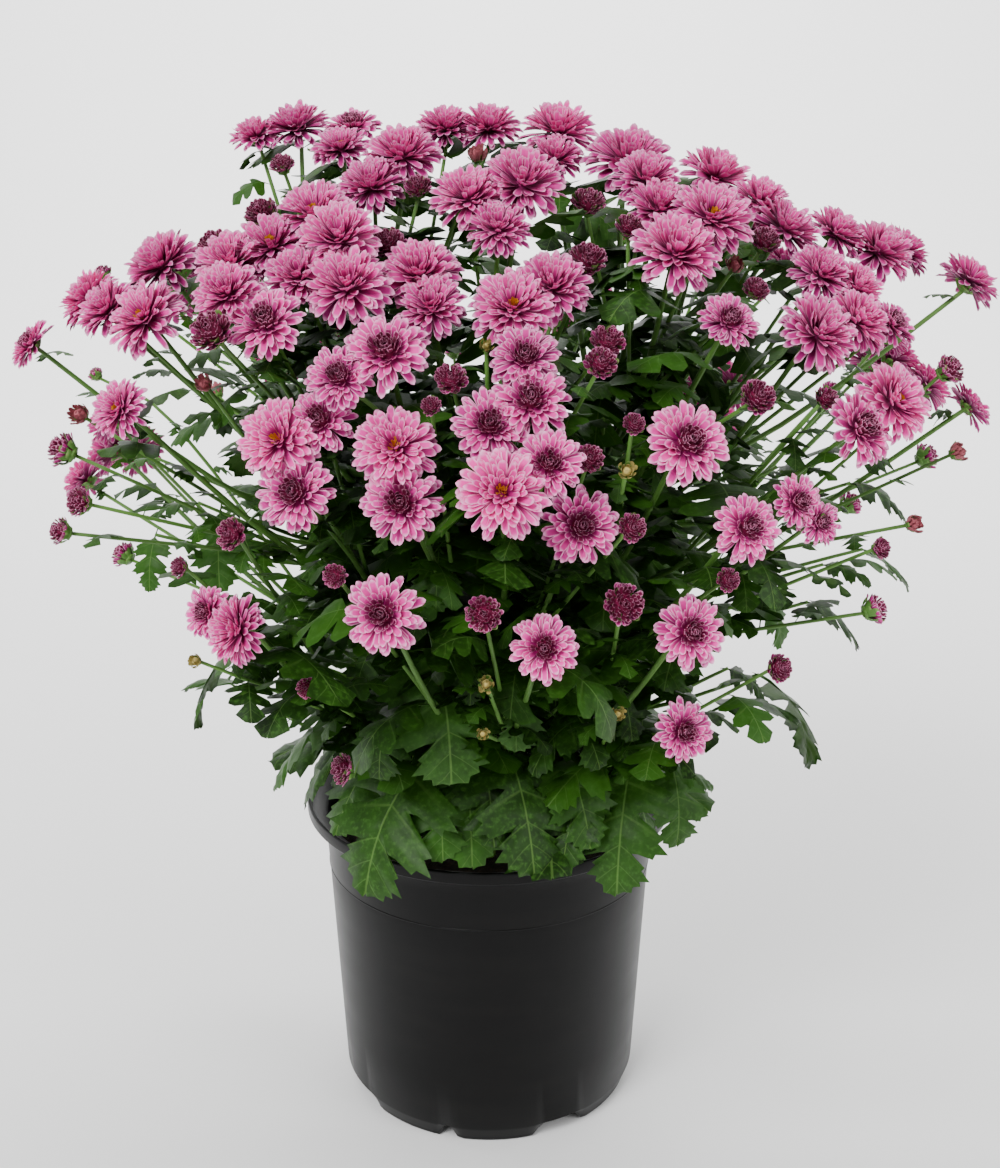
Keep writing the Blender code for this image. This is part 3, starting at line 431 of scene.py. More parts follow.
def read_heads(rows, spray, usual="dome"):
    """Heads from rows of readings."""
    return [Head(on_crown(across, down, back / 1000), span / 1000, turn, spray, look_of(across, down, usual))
            for across, down, span, back, turn in rows]


def far_place(spread, number, count, start):
    """A point of the crown's far side, the next by the golden ratio round it and a step lower down it."""
    first, arc, high, drop = spread
    azimuth = math.radians(first + arc * ((number * GOLDEN + start) % 1.0))
    rise = high - drop * (number + 0.5) / count
    share = math.sqrt(max(1 - (rise / CROWN_REACH[2]) ** 2, 0.0))
    flat = np.array((math.cos(azimuth), math.sin(azimuth), 0.0)) * CROWN_REACH * share
    return CROWN_MIDDLE + flat + np.array((0.0, 0.0, rise))


def far_sprays():
    """Sprays on the far half of the crown: a bloom with others round it, spread by the golden ratio."""
    rng = np.random.default_rng(FAR_SEED)
    heads = []
    for number in range(FAR_SPRAYS):
        place, name = far_place(FAR_SPREAD, number, FAR_SPRAYS, 0.2), f"far_{number + 1}"
        first = Head(place, FAR_SPAN * rng.uniform(0.95, 1.08), 0.0, name)
        heads.append(first)
        side, over = frame_of(first.way)
        start = rng.uniform(0, 2 * math.pi)
        mates = FAR_BLOOMS[number % len(FAR_BLOOMS)] - 1
        for mate in range(mates):
            angle = start + mate * 2 * math.pi / mates + rng.uniform(-0.15, 0.15)
            place = first.place + (side * math.cos(angle) + over * math.sin(angle)) * FAR_SPAN * TOUCH_FAR
            heads.append(Head(place, FAR_SPAN * rng.uniform(0.8, 0.98), 0.0, name))
    return heads


def far_young(others):
    """Small half-open heads and buds among the far sprays, wherever one is clear of all other heads."""
    rng = np.random.default_rng(FAR_SEED + 1)
    found = []
    for number in range(FAR_YOUNG):
        place = far_place(YOUNG_SPREAD, number, FAR_YOUNG, 0.5)
        head = Head(place, rng.uniform(*YOUNG_SPANS), 0.0, "", "bud" if number % 4 == 3 else "half_open")
        head.way = facing(place, 0.0, 0.0)
        if all(np.linalg.norm(head.place - other.place) > YOUNG_CLEAR * (head.radius + other.radius)
               for other in others + found):
            found.append(head)
    return found


def settle(heads):
    """Lays the blooms of a spray rim to rim, and moves all others clear of each other and of far sprays."""
    place = np.array([head.place for head in heads])
    start = place.copy()
    radii = np.array([head.radius for head in heads])
    reach = radii[:, None] + radii[None]
    turns, leans = np.array([head.turn for head in heads]), np.array([head.lean for head in heads])
    same = np.array([[bool(a.spray) and a.spray == b.spray for b in heads] for a in heads])
    np.fill_diagonal(same, True)
    moves = np.array([[0.0 if head.spray.startswith("far") else 1.0] for head in heads])
    line = unit(sight(EYE_ACROSS, EYE_DOWN))
    linked = np.zeros(same.shape, bool)
    for i in range(len(heads)):
        mates = [j for j in range(i) if same[i, j]]
        if mates:
            offset = seen_offset(place[mates] - place[i], line)
            mate = mates[int(np.argmin((offset ** 2).sum(1)))]
            linked[i, mate] = linked[mate, i] = True
    for _ in range(SETTLE_ROUNDS):
        way = facing(place, turns, leans)
        axis = units(way[:, None] + way[None] + 1e-9)
        offset = place[None] - place[:, None]
        along = (offset * axis).sum(-1)
        rim_way = offset - along[..., None] * axis
        across = np.linalg.norm(rim_way, axis=-1)
        rim_way = rim_way / (across + 1e-9)[..., None]
        # Mates move along the line of sight until their faces are level, and then until their rims meet
        level = linked * (along - np.clip(along, -LEVEL_SLACK * reach, LEVEL_SLACK * reach))
        level = level / np.minimum(axis @ line, -0.35)
        wide = np.maximum(across - TOUCH_FAR * reach, 0.0) * linked
        tight = np.minimum(across - TOUCH_NEAR * reach, 0.0) * same
        step = level[..., None] * line * PULL + (wide + tight)[..., None] * rim_way * PULL
        # All others move apart along it
        near = ~same & ((across / (CLEAR_ACROSS * reach)) ** 2 + (along / (CLEAR_ALONG * reach)) ** 2 < 1)
        deep = offset @ line
        order = np.where(np.abs(deep) < 0.004, np.sign(offset[..., 2] + 1e-9) * 0.010, deep)
        step -= near[..., None] * (order[..., None] * line + seen_offset(offset, line) * SIDESTEP) * PUSH
        np.einsum("iij->ij", step)[:] = 0.0
        place = place + (step.sum(1) + seen_offset(start - place, line) * HOMING) * moves
    for head, settled, way in zip(heads, place, facing(place, turns, leans)):
        head.place = settled
        head.way = way


def seen_offset(offset, line):
    """The part of offsets that is square to the line of sight."""
    return offset - (offset @ line)[..., None] * line


def frame_of(way, spin=0.0):
    """Two directions square to a way, turned about it."""
    side = np.cross(way, (0.0, 0.0, 1.0))
    if np.linalg.norm(side) < 0.05:
        side = np.array((1.0, 0.0, 0.0))
    side = unit(side - way * (side @ way))
    over = np.cross(way, side)
    return side * math.cos(spin) + over * math.sin(spin), over * math.cos(spin) - side * math.sin(spin)


blooms = [head for name, rows in SPRAYS.items() for head in read_heads(rows, name)] + far_sprays()
young = read_heads(HALF_OPEN, "", "half_open") + read_heads(BUDS, "", "bud")
settle(blooms + young)
young += far_young(blooms + young)
heads = blooms + young


# Petals: each head is a receptacle packed with spoon-shaped florets, laid on it by the golden angle from the
# rim in. One flat petal is modelled, and every copy is bent and cupped for its place, so no two are alike.
PETAL_STATIONS = ((0.0, 0.34), (0.30, 0.66), (0.62, 0.98), (0.86, 0.98), (1.0, 0.58))
PETAL_THICK = 0.030
TUBE_SIDES = 6
GOLDEN_ANGLE = math.radians(137.508)
# Over these heights the heads turn deeper in colour, and by this much they differ in it
HIGH_UP = (0.40, 0.49)
OWN_DEPTH = 0.35


def mesh_faces(thing):
    """A mesh's four-sided faces as an array."""
    return np.array([tuple(face.vertices) for face in thing.data.polygons])


def pick_points(thing, test):
    """Goes into edit mode with only those points selected whose place passes a test."""
    bpy.ops.object.mode_set(mode="EDIT")
    bpy.ops.mesh.select_mode(type="VERT")
    bpy.ops.mesh.select_all(action="DESELECT")
    bpy.ops.object.mode_set(mode="OBJECT")
    for point in thing.data.vertices:
        point.select = bool(test(point.co))
    bpy.ops.object.mode_set(mode="EDIT")


def thicken(sheet, thickness, inside):
    """Lays a second face under a flat sheet: the two are parted inside, and joined all round its edge."""
    bpy.ops.object.mode_set(mode="EDIT")
    bpy.ops.mesh.select_all(action="SELECT")
    bpy.ops.mesh.duplicate()
    bpy.ops.mesh.flip_normals()
    bpy.ops.object.mode_set(mode="OBJECT")
    points = mesh_points(sheet)
    upper = np.arange(len(points)) < len(points) // 2
    over = np.where(upper, thickness / 2, -thickness / 2)
    points[:, 2] = np.where(inside(points[:, 0], points[:, 1]), over, 0.0)
    move_points(sheet, points)
    bpy.ops.object.mode_set(mode="EDIT")
    bpy.ops.mesh.select_all(action="SELECT")
    bpy.ops.mesh.remove_doubles(threshold=0.001)
    bpy.ops.mesh.normals_make_consistent(inside=False)
    bpy.ops.object.mode_set(mode="OBJECT")


bpy.ops.object.select_all(action="DESELECT")
bpy.ops.mesh.primitive_grid_add(x_subdivisions=2, y_subdivisions=1, size=1.0)
flat_petal = bpy.context.object
points = mesh_points(flat_petal)
width = PETAL_STATIONS[0][1]
points[:, 0] *= width
points[:, 1] = np.where(points[:, 1] < 0, PETAL_STATIONS[0][0], PETAL_STATIONS[1][0])
move_points(flat_petal, points)
pick_points(flat_petal, lambda place: place.y > 0.01)
bpy.ops.transform.resize(value=(PETAL_STATIONS[1][1] / width, 1.0, 1.0), center_override=(0.0, 0.0, 0.0))
for (near, near_width), (far, far_width) in zip(PETAL_STATIONS[1:], PETAL_STATIONS[2:]):
    bpy.ops.mesh.extrude_region_move(TRANSFORM_OT_translate={"value": (0.0, far - near, 0.0)})
    bpy.ops.transform.resize(value=(far_width / near_width, 1.0, 1.0), center_override=(0.0, far, 0.0))
bpy.ops.object.mode_set(mode="OBJECT")
# The tip is rounded: its corners lie a little behind its middle
points = mesh_points(flat_petal)
points[:, 1] -= 0.045 * (points[:, 1] > 0.99) * (np.abs(points[:, 0]) > 0.1)
move_points(flat_petal, points)
thicken(flat_petal, PETAL_THICK, lambda x, y: (np.abs(x) < 0.01) & (y > 0.01) & (y < 0.99))
PETAL_POINTS, PETAL_FACES = mesh_points(flat_petal), mesh_faces(flat_petal)
bpy.data.objects.remove(flat_petal)

# Looks of heads: tone, which is the look's colour family, and how many florets. Then, from the outermost
# floret to the innermost in equal steps, their rise in degrees, length, width and bend in degrees, and how
# far out and how high their feet are, all in head radii. Last, for those on a core, its heights and radii.
LOOKS = {
    "dome": (0.0, 130, (-16, 4, 26, 50, 74), (0.98, 0.97, 0.88, 0.72, 0.54), (0.20, 0.21, 0.20, 0.18, 0.15),
             (-36, -14, 16, 34, 30), (0.10, 0.10, 0.10, 0.08, 0.02), (-0.10, -0.08, -0.04, 0.0, 0.03),
             ((-0.30, 0.20), (-0.08, 0.22), (0.02, 0.18), (0.10, 0.03))),
    "eyed": (0.0, 128, (-16, 4, 24, 44, 62), (0.98, 0.97, 0.86, 0.70, 0.44), (0.20, 0.21, 0.20, 0.17, 0.13),
             (-36, -14, 12, 28, 36), (0.10, 0.10, 0.10, 0.09, 0.07), (-0.10, -0.08, -0.04, 0.01, 0.06),
             ((-0.30, 0.20), (-0.08, 0.22), (0.02, 0.18), (0.08, 0.03))),
    "rayed": (0.5, 118, (-6, 3, 12, 28, 50, 70, 88), (1.00, 0.95, 0.86, 0.60, 0.36, 0.28, 0.22),
              (0.23, 0.23, 0.22, 0.19, 0.16, 0.15, 0.14), (-18, -6, 10, 34, 66, 66, 40),
              (0.10, 0.10, 0.12, 0.18, 0.23, 0.15, 0.02), (-0.12, -0.10, -0.08, -0.04, 0.03, 0.13, 0.18),
              ((-0.30, 0.22), (-0.08, 0.27), (0.06, 0.25), (0.15, 0.16), (0.20, 0.03))),
    "half_open": (1.0, 78, (32, 36, 44, 62, 88), (0.66, 0.58, 0.48, 0.38, 0.28),
                  (0.27, 0.26, 0.24, 0.20, 0.17), (36, 62, 74, 70, 36), (0.36, 0.44, 0.44, 0.28, 0.03),
                  (-0.34, -0.24, 0.02, 0.24, 0.34),
                  ((-0.62, 0.30), (-0.34, 0.44), (0.04, 0.46), (0.26, 0.32), (0.36, 0.04))),
    "green_bud": (2.0, 22, (58, 66, 76, 86), (1.10, 1.20, 1.20, 1.15), (0.50, 0.46, 0.40, 0.30),
                  (78, 72, 60, 30), (0.36, 0.30, 0.18, 0.04), (-0.52, -0.54, -0.56, -0.58),
                  ((-0.62, 0.30), (-0.30, 0.44), (0.10, 0.44), (0.38, 0.20))),
    "bud": (1.5, 34, (56, 66, 76, 86), (1.05, 1.20, 1.20, 1.15), (0.36, 0.34, 0.30, 0.24), (78, 72, 60, 30),
            (0.36, 0.30, 0.18, 0.04), (-0.52, -0.54, -0.56, -0.58),
            ((-0.62, 0.30), (-0.30, 0.44), (0.10, 0.44), (0.38, 0.20))),
    "eye": (3.0, 30, (56, 66, 78, 88), (0.22, 0.21, 0.20, 0.18), (0.060, 0.060, 0.050, 0.05), (30, 20, 0, 0),
            (0.09, 0.07, 0.04, 0.01), (0.02, 0.04, 0.06, 0.07), ()),
    "calyx": (4.0, 10, (14, 24, 36, 46), (0.36, 0.36, 0.34, 0.30), (0.20, 0.19, 0.18, 0.16), (44, 40, 30, 24),
              (0.05, 0.06, 0.08, 0.09), (-0.37, -0.34, -0.30, -0.27), ()),
    "cup": (4.0, 14, (38, 46, 54, 60), (0.60, 0.74, 0.86, 0.90), (0.42, 0.40, 0.38, 0.36), (74, 64, 52, 44),
            (0.14, 0.20, 0.28, 0.34), (-0.68, -0.64, -0.58, -0.52), ()),
}


class Heap:
    """Points, four-sided faces and what the surfaces read from them, gathered for one object."""

    def __init__(self):
        self.points, self.faces, self.uvs, self.tones, self.total = [], [], [], [], 0

    def add(self, points, faces, uvs, tones):
        """Lays a form with those that are there."""
        self.points.append(points)
        self.faces.append(faces + self.total)
        self.uvs.append(uvs)
        self.tones.append(np.broadcast_to(tones, points.shape))
        self.total += len(points)
    def make(self, name, surface, slot, *nodes):
        """The object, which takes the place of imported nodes."""
        faces = np.concatenate(self.faces)
        mesh = bpy.data.meshes.new(name)
        mesh.from_pydata(np.concatenate(self.points).tolist(), [], faces.tolist())
        corners = np.concatenate(self.uvs)[faces.ravel()]
        mesh.uv_layers.new(name="across_and_along").uv.foreach_set("vector", corners.ravel())
        tones = mesh.attributes.new("tone", "FLOAT_VECTOR", "POINT")
        tones.data.foreach_set("vector", np.concatenate(self.tones).ravel())
        mesh.materials.append(surface)
        mesh.shade_smooth()
        mesh.set_sharp_from_angle(angle=math.radians(100))
        made = bpy.data.objects.new(name, mesh)
        bpy.context.collection.objects.link(made)
        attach(made, "root")
        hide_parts(*nodes)
        return made


def bent_petals(length, width, rise, bend, cup):
    """Copies of the flat petal, one to each row of values, bent along an arc, cupped and raised, along +X."""
    across, along, over = (PETAL_POINTS[None, :, k] for k in range(3))
    length, width, rise, bend, cup = (values[:, None] for values in (length, width, rise, bend, cup))
    bend = np.where(np.abs(bend) < 1e-3, 1e-3, bend)
    start, turn = rise - bend / 2, bend * along
    forward = (np.sin(start + turn) - np.sin(start)) / bend * length
    upward = (np.cos(start) - np.cos(start + turn)) / bend * length
    lift = cup * width * (across * 2) ** 2 * (0.3 + 0.7 * along) + over * np.minimum(length, 0.6)
    x = forward - np.sin(start + turn) * lift
    z = upward + np.cos(start + turn) * lift
    return np.stack((x, np.broadcast_to(across * width, x.shape), z), axis=-1)


def tube(path, radii):
    """A tube along a line, closed at both ends, with its points, faces, and places round and along."""
    way = units(np.gradient(path, axis=0))
    side, _ = frame_of(way[0])
    ring = np.arange(TUBE_SIDES)
    angles = ring * 2 * math.pi / TUBE_SIDES
    points, uvs = [], []
    for place, ahead, radius, share in zip(path, way, radii, np.linspace(0, 1, len(path))):
        side = unit(side - ahead * (side @ ahead))
        over = np.cross(ahead, side)
        points.append(place + np.outer(np.cos(angles) * radius, side)
                      + np.outer(np.sin(angles) * radius, over))
        uvs.append(np.stack((np.abs(ring / TUBE_SIDES - 0.5), np.full(TUBE_SIDES, share)), axis=-1))
    low = np.arange(len(path) - 1)[:, None] * TUBE_SIDES
    after = (ring + 1) % TUBE_SIDES
    walls = np.stack((low + ring, low + after, low + TUBE_SIDES + after, low + TUBE_SIDES + ring), axis=-1)
    last = (len(path) - 1) * TUBE_SIDES + np.array(((0, 1, 2, 3), (0, 3, 4, 5)))
    first = np.array(((0, 5, 4, 3), (0, 3, 2, 1)))
    faces = np.concatenate((walls.reshape(-1, 4), first, last))
    return np.concatenate(points), faces, np.concatenate(uvs)


def head_form(look, seed):
    """All florets of a head with its middle at the origin, facing up, one unit in radius."""
    rng = np.random.default_rng(seed)
    tone, count, *knots, core = look
    share = (np.arange(count) + 0.5) / count
    rise, length, width, bend, out, foot = (np.interp(share, np.linspace(0, 1, len(row)), row)
                                            for row in knots)
    rise = np.radians(rise + rng.normal(0, 6.0, count))
    bend = np.radians(bend + rng.normal(0, 10, count))
    length = length * np.clip(rng.normal(0.97, 0.06, count), 0.75, 1.06)
    width = width * rng.normal(1, 0.08, count)
    petals = bent_petals(length, width, rise, bend, rng.normal(0.26, 0.10, count))
    # Each is twisted a little about its own line, and then turned to its place round the head
    twist = rng.normal(0, 0.24, count)[:, None]
    y = petals[..., 1] * np.cos(twist)
    z = petals[..., 2] + petals[..., 1] * np.sin(twist) + foot[:, None]
    x = petals[..., 0] + out[:, None]
    angle = (np.arange(count) * GOLDEN_ANGLE + rng.normal(0, 0.13, count))[:, None]
    cos, sin = np.cos(angle), np.sin(angle)
    placed = np.stack((x * cos - y * sin, x * sin + y * cos, z), axis=-1)
    faces = (PETAL_FACES[None] + (np.arange(count) * len(PETAL_POINTS))[:, None, None]).reshape(-1, 4)
    half_width = np.interp(PETAL_POINTS[:, 1], *zip(*PETAL_STATIONS))
    uvs = np.tile(np.stack((0.5 + PETAL_POINTS[:, 0] / half_width, PETAL_POINTS[:, 1]), axis=-1), (count, 1))
    tones = np.stack((share, rng.uniform(0, 1, count), np.full(count, tone)), axis=-1)
    florets = (placed.reshape(-1, 3), faces, uvs, np.repeat(tones, len(PETAL_POINTS), axis=0))
    if not core:
        return florets
    # They stand on a low cone, which closes the gaps between their feet
    heights, radii = np.array(core).T
    points, faces, uvs = tube(np.multiply.outer(heights, (0.0, 0.0, 1.0)), radii)
    # The cone is coloured as the florets' feet are, with their painted shade
    cone = (points, faces + len(florets[0]), np.full(uvs.shape, (0.5, 0.1)),
            np.full(points.shape, (0.8, 0.5, tone)))
    return tuple(np.concatenate(pair) for pair in zip(florets, cone))


FORMS = {name: [head_form(look, 10 * number + k) for k in range(3)]
         for number, (name, look) in enumerate(LOOKS.items())}


def add_form(heap, name, head, seed):
    """Adds a copy of one of a look's forms where a head is."""
    points, faces, uvs, tones = FORMS[name][seed % 3]
    side, over = frame_of(head.way, seed * GOLDEN_ANGLE)
    turned = points @ np.array((side, over, head.way)) * head.radius + head.place
    # Heads high up are deeper in colour, every head has some depth of colour of its own, and each of its
    # florets a little of its own
    own = np.interp(head.place[2], HIGH_UP, (OWN_DEPTH, 0.0)) + OWN_DEPTH * ((seed * GOLDEN) % 1.0)
    tones = tones * (1.0, 0.3, 1.0) + (0.0, own, 0.0)
    heap.add(turned, faces, uvs, tones)


# Petal: living chrysanthemum petal, matt with a faint sheen. Rose pink with paler rims, magenta towards its
# foot and in the outer florets of a dome, partly the petal's own colour and partly painted shade. The
# unopened florets in the middle of a young head are maroon with light tips, and closed buds, green buds and
# the golden eye have colours of their own.
EASED = {"interpolation_type": "SMOOTHSTEP"}
# From these tones up, forms have a colour of their own
OWN_COLOURS = ((1.2, 1.45, "#a85a64"), (1.7, 1.95, "#b3a35f"), (2.6, 2.9, "#d6901a"))


def read_marks(tree):
    """What a surface reads from its mesh: the place across and along a form, and the tone of each point."""
    marks = add_node(tree, "UVMap", {}, uv_map="across_and_along")
    tones = add_node(tree, "Attribute", {}, attribute_name="tone").outputs["Vector"]
    return [add_node(tree, "SeparateXYZ", {"Vector": read}).outputs for read in (marks, tones)]


petal, tree, shader = new_surface("rose_pink_petal", {"Roughness": 0.50, "IOR": 1.38, "Sheen Weight": 0.05,
                                                      "Specular IOR Level": 0.30})
uv, tone = read_marks(tree)
aside = add_node(tree, "Math", (uv["X"], 0.5), operation="SUBTRACT")
from_rib = add_node(tree, "Math", (aside,), operation="ABSOLUTE")
sides = add_node(tree, "MapRange", (from_rib, 0.26, 0.50), **EASED)
tips = add_node(tree, "MapRange", (uv["Y"], 0.84, 1.0), **EASED)
edges = add_node(tree, "Math", (sides, tips), operation="MAXIMUM")
opened = add_node(tree, "MapRange", (uv["Y"], 0.25, 0.85), **EASED)
rim = add_node(tree, "Math", (edges, opened), operation="MULTIPLY")
# Magenta in the outer florets, partly their own deeper colour and partly painted shade low round the dome,
# rose further in, and paler from head to head
own = add_node(tree, "Math", (tone["Y"], 0.45, tone["X"]), operation="MULTIPLY_ADD")
inner = add_node(tree, "MapRange", (own, 0.02, 0.80), **EASED)
# Each petal is deeper magenta towards its foot: partly its own colour, partly painted shade where the florets
# crowd together
foot_colour_and_shade = add_node(tree, "MixRGB", (inner, "#60003e", "#960a60"))
blade = add_node(tree, "MixRGB", (inner, "#ac1476", "#f245ac"))
pink = add_node(tree, "MixRGB", (opened, foot_colour_and_shade, blade))
tinted = add_node(tree, "MixRGB", (rim, pink, "#ffb6e0"))
# Maroon in the middle of rayed heads, and nearly all over half-open ones
light = add_node(tree, "Math", (rim, tips), operation="MAXIMUM")
maroon = add_node(tree, "MixRGB", (light, "#6c0c38", "#f6a4cc"))
masks = []
for along, family in (((0.56, 0.76), (0.2, 0.45)), ((0.08, 0.34), (0.7, 0.95))):
    further_in = add_node(tree, "MapRange", (tone["X"], *along), **EASED)
    of_look = add_node(tree, "MapRange", (tone["Z"], *family), **EASED)
    masks.append(add_node(tree, "Math", (further_in, of_look), operation="MULTIPLY"))
dark = add_node(tree, "Math", masks, operation="MAXIMUM")
colour = add_node(tree, "MixRGB", (dark, tinted, maroon))
for low, high, own_colour in OWN_COLOURS:
    of_look = add_node(tree, "MapRange", (tone["Z"], low, high), **EASED)
    colour = add_node(tree, "MixRGB", (of_look, colour, own_colour))
# Fine veins run along the petal, seven to its width, as faint streaks
turns = add_node(tree, "Math", (uv["X"], 44.0), operation="MULTIPLY")
streaks = add_node(tree, "Math", (turns,), operation="SINE")
chance = add_node(tree, "MapRange", (tone["Y"], 0.0, 1.0, 0.80, 1.15))
streaked = add_node(tree, "Math", (streaks, 0.06, chance), operation="MULTIPLY_ADD")
feed(shader, {"Base Color": add_node(tree, "HueSaturation", {"Value": streaked, "Color": colour}),
              "Normal": add_node(tree, "Bump", {"Height": streaks, "Strength": 0.3, "Distance": 0.0002})})

sprays = {}
for seed, head in enumerate(blooms):
    heap = sprays.setdefault(head.spray, Heap())
    add_form(heap, head.look, head, seed)
    if head.look == "eyed":
        add_form(heap, "eye", head, seed)
for name, heap in sprays.items():
    heap.make(f"blooms_{name}", petal, "petal_pink", f"spray_{name}")


# Stems: rooted cuttings that lean out as they rise, and fork into a branch for each spray and a stalk for
# each head. They are ridged, lime green in the light, and each stalk swells into the scaly cup of its head.
STEMS = 8
STEM_FOOT_REACH = 0.036
STEM_FOOT = 0.128
STEM_KNEE = np.array((0.044, 0.270))
STEM_TOP = np.array((0.078, 0.385))
STEM_RADII = (0.0040, 0.0027)
BRANCH_RADII = (0.0018, 0.0009)
STALK_RADII = (0.0011, 0.0009)
STALK_ROOM = 0.003
STALK_BENDS = (0.0, 0.010, 0.020, 0.032, 0.045)
# How far below a head's middle its stalk ends, half the head's thickness and its middle, in head radii
BLOOM_SEAT = 0.34
YOUNG_SEAT = 0.60
HEAD_HALF_THICK = 0.56
HEAD_MIDDLE = 0.08
# Where the green floor of a head starts and ends along its axis, and its widest, in head radii
BLOOM_FLOOR = (-0.32, -0.16, 0.27)
YOUNG_FLOOR = (-0.72, -0.44, 0.46)
GREEN_BUD_RADIUS = 0.0048
# A branch leaves its stem this far under its spray, and forks half way to it, a little lower
BRANCH_DROP = 0.125
FORK_SHARE = 0.50
FORK_SINK = 0.012


def stem_way(number):
    """The direction in which a stem leans, seen from above; the first leans towards the eye."""
    angle = math.radians(-90) + 2 * math.pi * number / STEMS
    return np.array((math.cos(angle), math.sin(angle), 0.0))


def curve(start, knee, end, share):
    """A point on the smooth curve that leaves start towards knee and comes from knee into end."""
    return start * (1 - share) ** 2 + knee * 2 * share * (1 - share) + end * share ** 2


def stem_point(number, share):
    """A point on a main stem, from 0 in the soil to 1 at its top."""
    out, up = stem_way(number), np.array((0.0, 0.0, 1.0))
    foot = out * STEM_FOOT_REACH + up * STEM_FOOT
    knee = out * STEM_KNEE[0] + up * STEM_KNEE[1]
    top = out * STEM_TOP[0] + up * STEM_TOP[1]
    return curve(foot, knee, top, share)


def stem_at(number, height, low, high):
    """The point of a main stem at about a height, between two shares of its length."""
    share = (height - SOIL_TOP) / (STEM_TOP[1] - SOIL_TOP)
    return stem_point(number, min(max(share, low), high))


def nearest_stem(place):
    """The stem whose sector a place lies in."""
    angle = math.degrees(math.atan2(place[1], place[0])) + 90
    return int(round(angle / (360 / STEMS))) % STEMS


def base_of(head):
    """Where a head sits on its stalk: an open bloom stands a hair above it, any other head is sunk on it."""
    if head.spray:
        return head.place - head.way * (BLOOM_SEAT * head.radius + GAP)
    return head.place - head.way * YOUNG_SEAT * head.radius


def dense(path, spacing=0.0025):
    """Points close together along a path."""
    points = []
    for a, b in zip(path, path[1:]):
        count = max(int(np.linalg.norm(b - a) / spacing), 1)
        points += [a + (b - a) * k / count for k in range(count + 1)]
    return points


def room_round(points, heads, margin):
    """The least distance from points to heads, as a share of the heads' own size and a margin."""
    place = np.array([head.place for head in heads])
    way = np.array([head.way for head in heads])
    radii = np.array([head.radius for head in heads])
    offset = np.asarray(points)[:, None] - place[None]
    along = (offset * way[None]).sum(-1)
    across = np.sqrt(np.maximum((offset ** 2).sum(-1) - along ** 2, 0.0))
    from_middle = (along - HEAD_MIDDLE * radii) / (HEAD_HALF_THICK * radii + margin)
    return np.hypot(across / (radii + margin), from_middle).min()


def bent_clear(start, end, way, neck, heads):
    """A path from start to end, arriving along way, bent as little as keeps it clear of the heads."""
    last = end - way * neck
    tail = [last, end] if neck > 0.002 else [end]
    side, over = frame_of(unit(last - start))
    best, best_room = None, -9.0
    for bend in STALK_BENDS:
        for turn in range(10 if bend else 1):
            angle = turn * math.pi / 5
            for share in (0.45, 0.75) if bend else (0.5,):
                middle = start + (last - start) * share
                middle = middle + (side * math.cos(angle) + over * math.sin(angle)) * bend
                path = [start, middle] + tail if bend else [start] + tail
                tested = dense([start, middle, last]) + [last + way * neck * 0.5]
                room = min(room_round(tested, heads, STALK_ROOM), 1.0) - bend
                if room > best_room:
                    best, best_room = path, room
        if best_room >= 1.0 - bend:
            break
    return best


def plan_sprays(blooms, others):
    """Groups every head with the spray that it grows from, and gives each spray its stem and its branch."""
    plans = {}
    for head in blooms:
        plans.setdefault(head.spray, {"name": head.spray, "heads": []})["heads"].append(head)
    for plan in plans.values():
        plan["middle"] = sum(head.place for head in plan["heads"]) / len(plan["heads"])
    for head in others:
        nearest = min(plans.values(), key=lambda plan: np.linalg.norm(plan["middle"] - head.place))
        nearest["heads"].append(head)
    heads = blooms + others
    for plan in plans.values():
        plan["stem"] = nearest_stem(plan["middle"])
        root = stem_at(plan["stem"], plan["middle"][2] - BRANCH_DROP, 0.30, 1.0)
        fork = root + (plan["middle"] - root) * FORK_SHARE - np.array((0.0, 0.0, FORK_SINK))
        plan["branch"] = bent_clear(root, fork, unit(fork - root), 0.001, heads)
        plan["stalks"] = []
        for place_in_row, head in enumerate(plan["heads"]):
            low, high = plan["branch"][-2], plan["branch"][-1]
            start = high + (low - high) * min(0.10 * place_in_row, 0.8)
            base = base_of(head)
            neck = 0.30 * head.radius if head.spray else 0.001
            others_than_own = [other for other in heads if other is not head]
            plan["stalks"].append(bent_clear(start, base, head.way, neck, others_than_own))
    return list(plans.values())


def flowing(path, steps=4):
    """A smooth line through a path's points."""
    path = [np.asarray(place) for place in path]
    ends = [2 * path[0] - path[1]] + path + [2 * path[-1] - path[-2]]
    line = []
    for a, b, c, d in zip(ends, ends[1:], ends[2:], ends[3:]):
        for t in np.arange(steps) / steps:
            line.append(0.5 * (2 * b + (c - a) * t + (2 * a - 5 * b + 4 * c - d) * t ** 2
                               + (3 * b - a - 3 * c + d) * t ** 3))
    return np.array(line + [path[-1]])


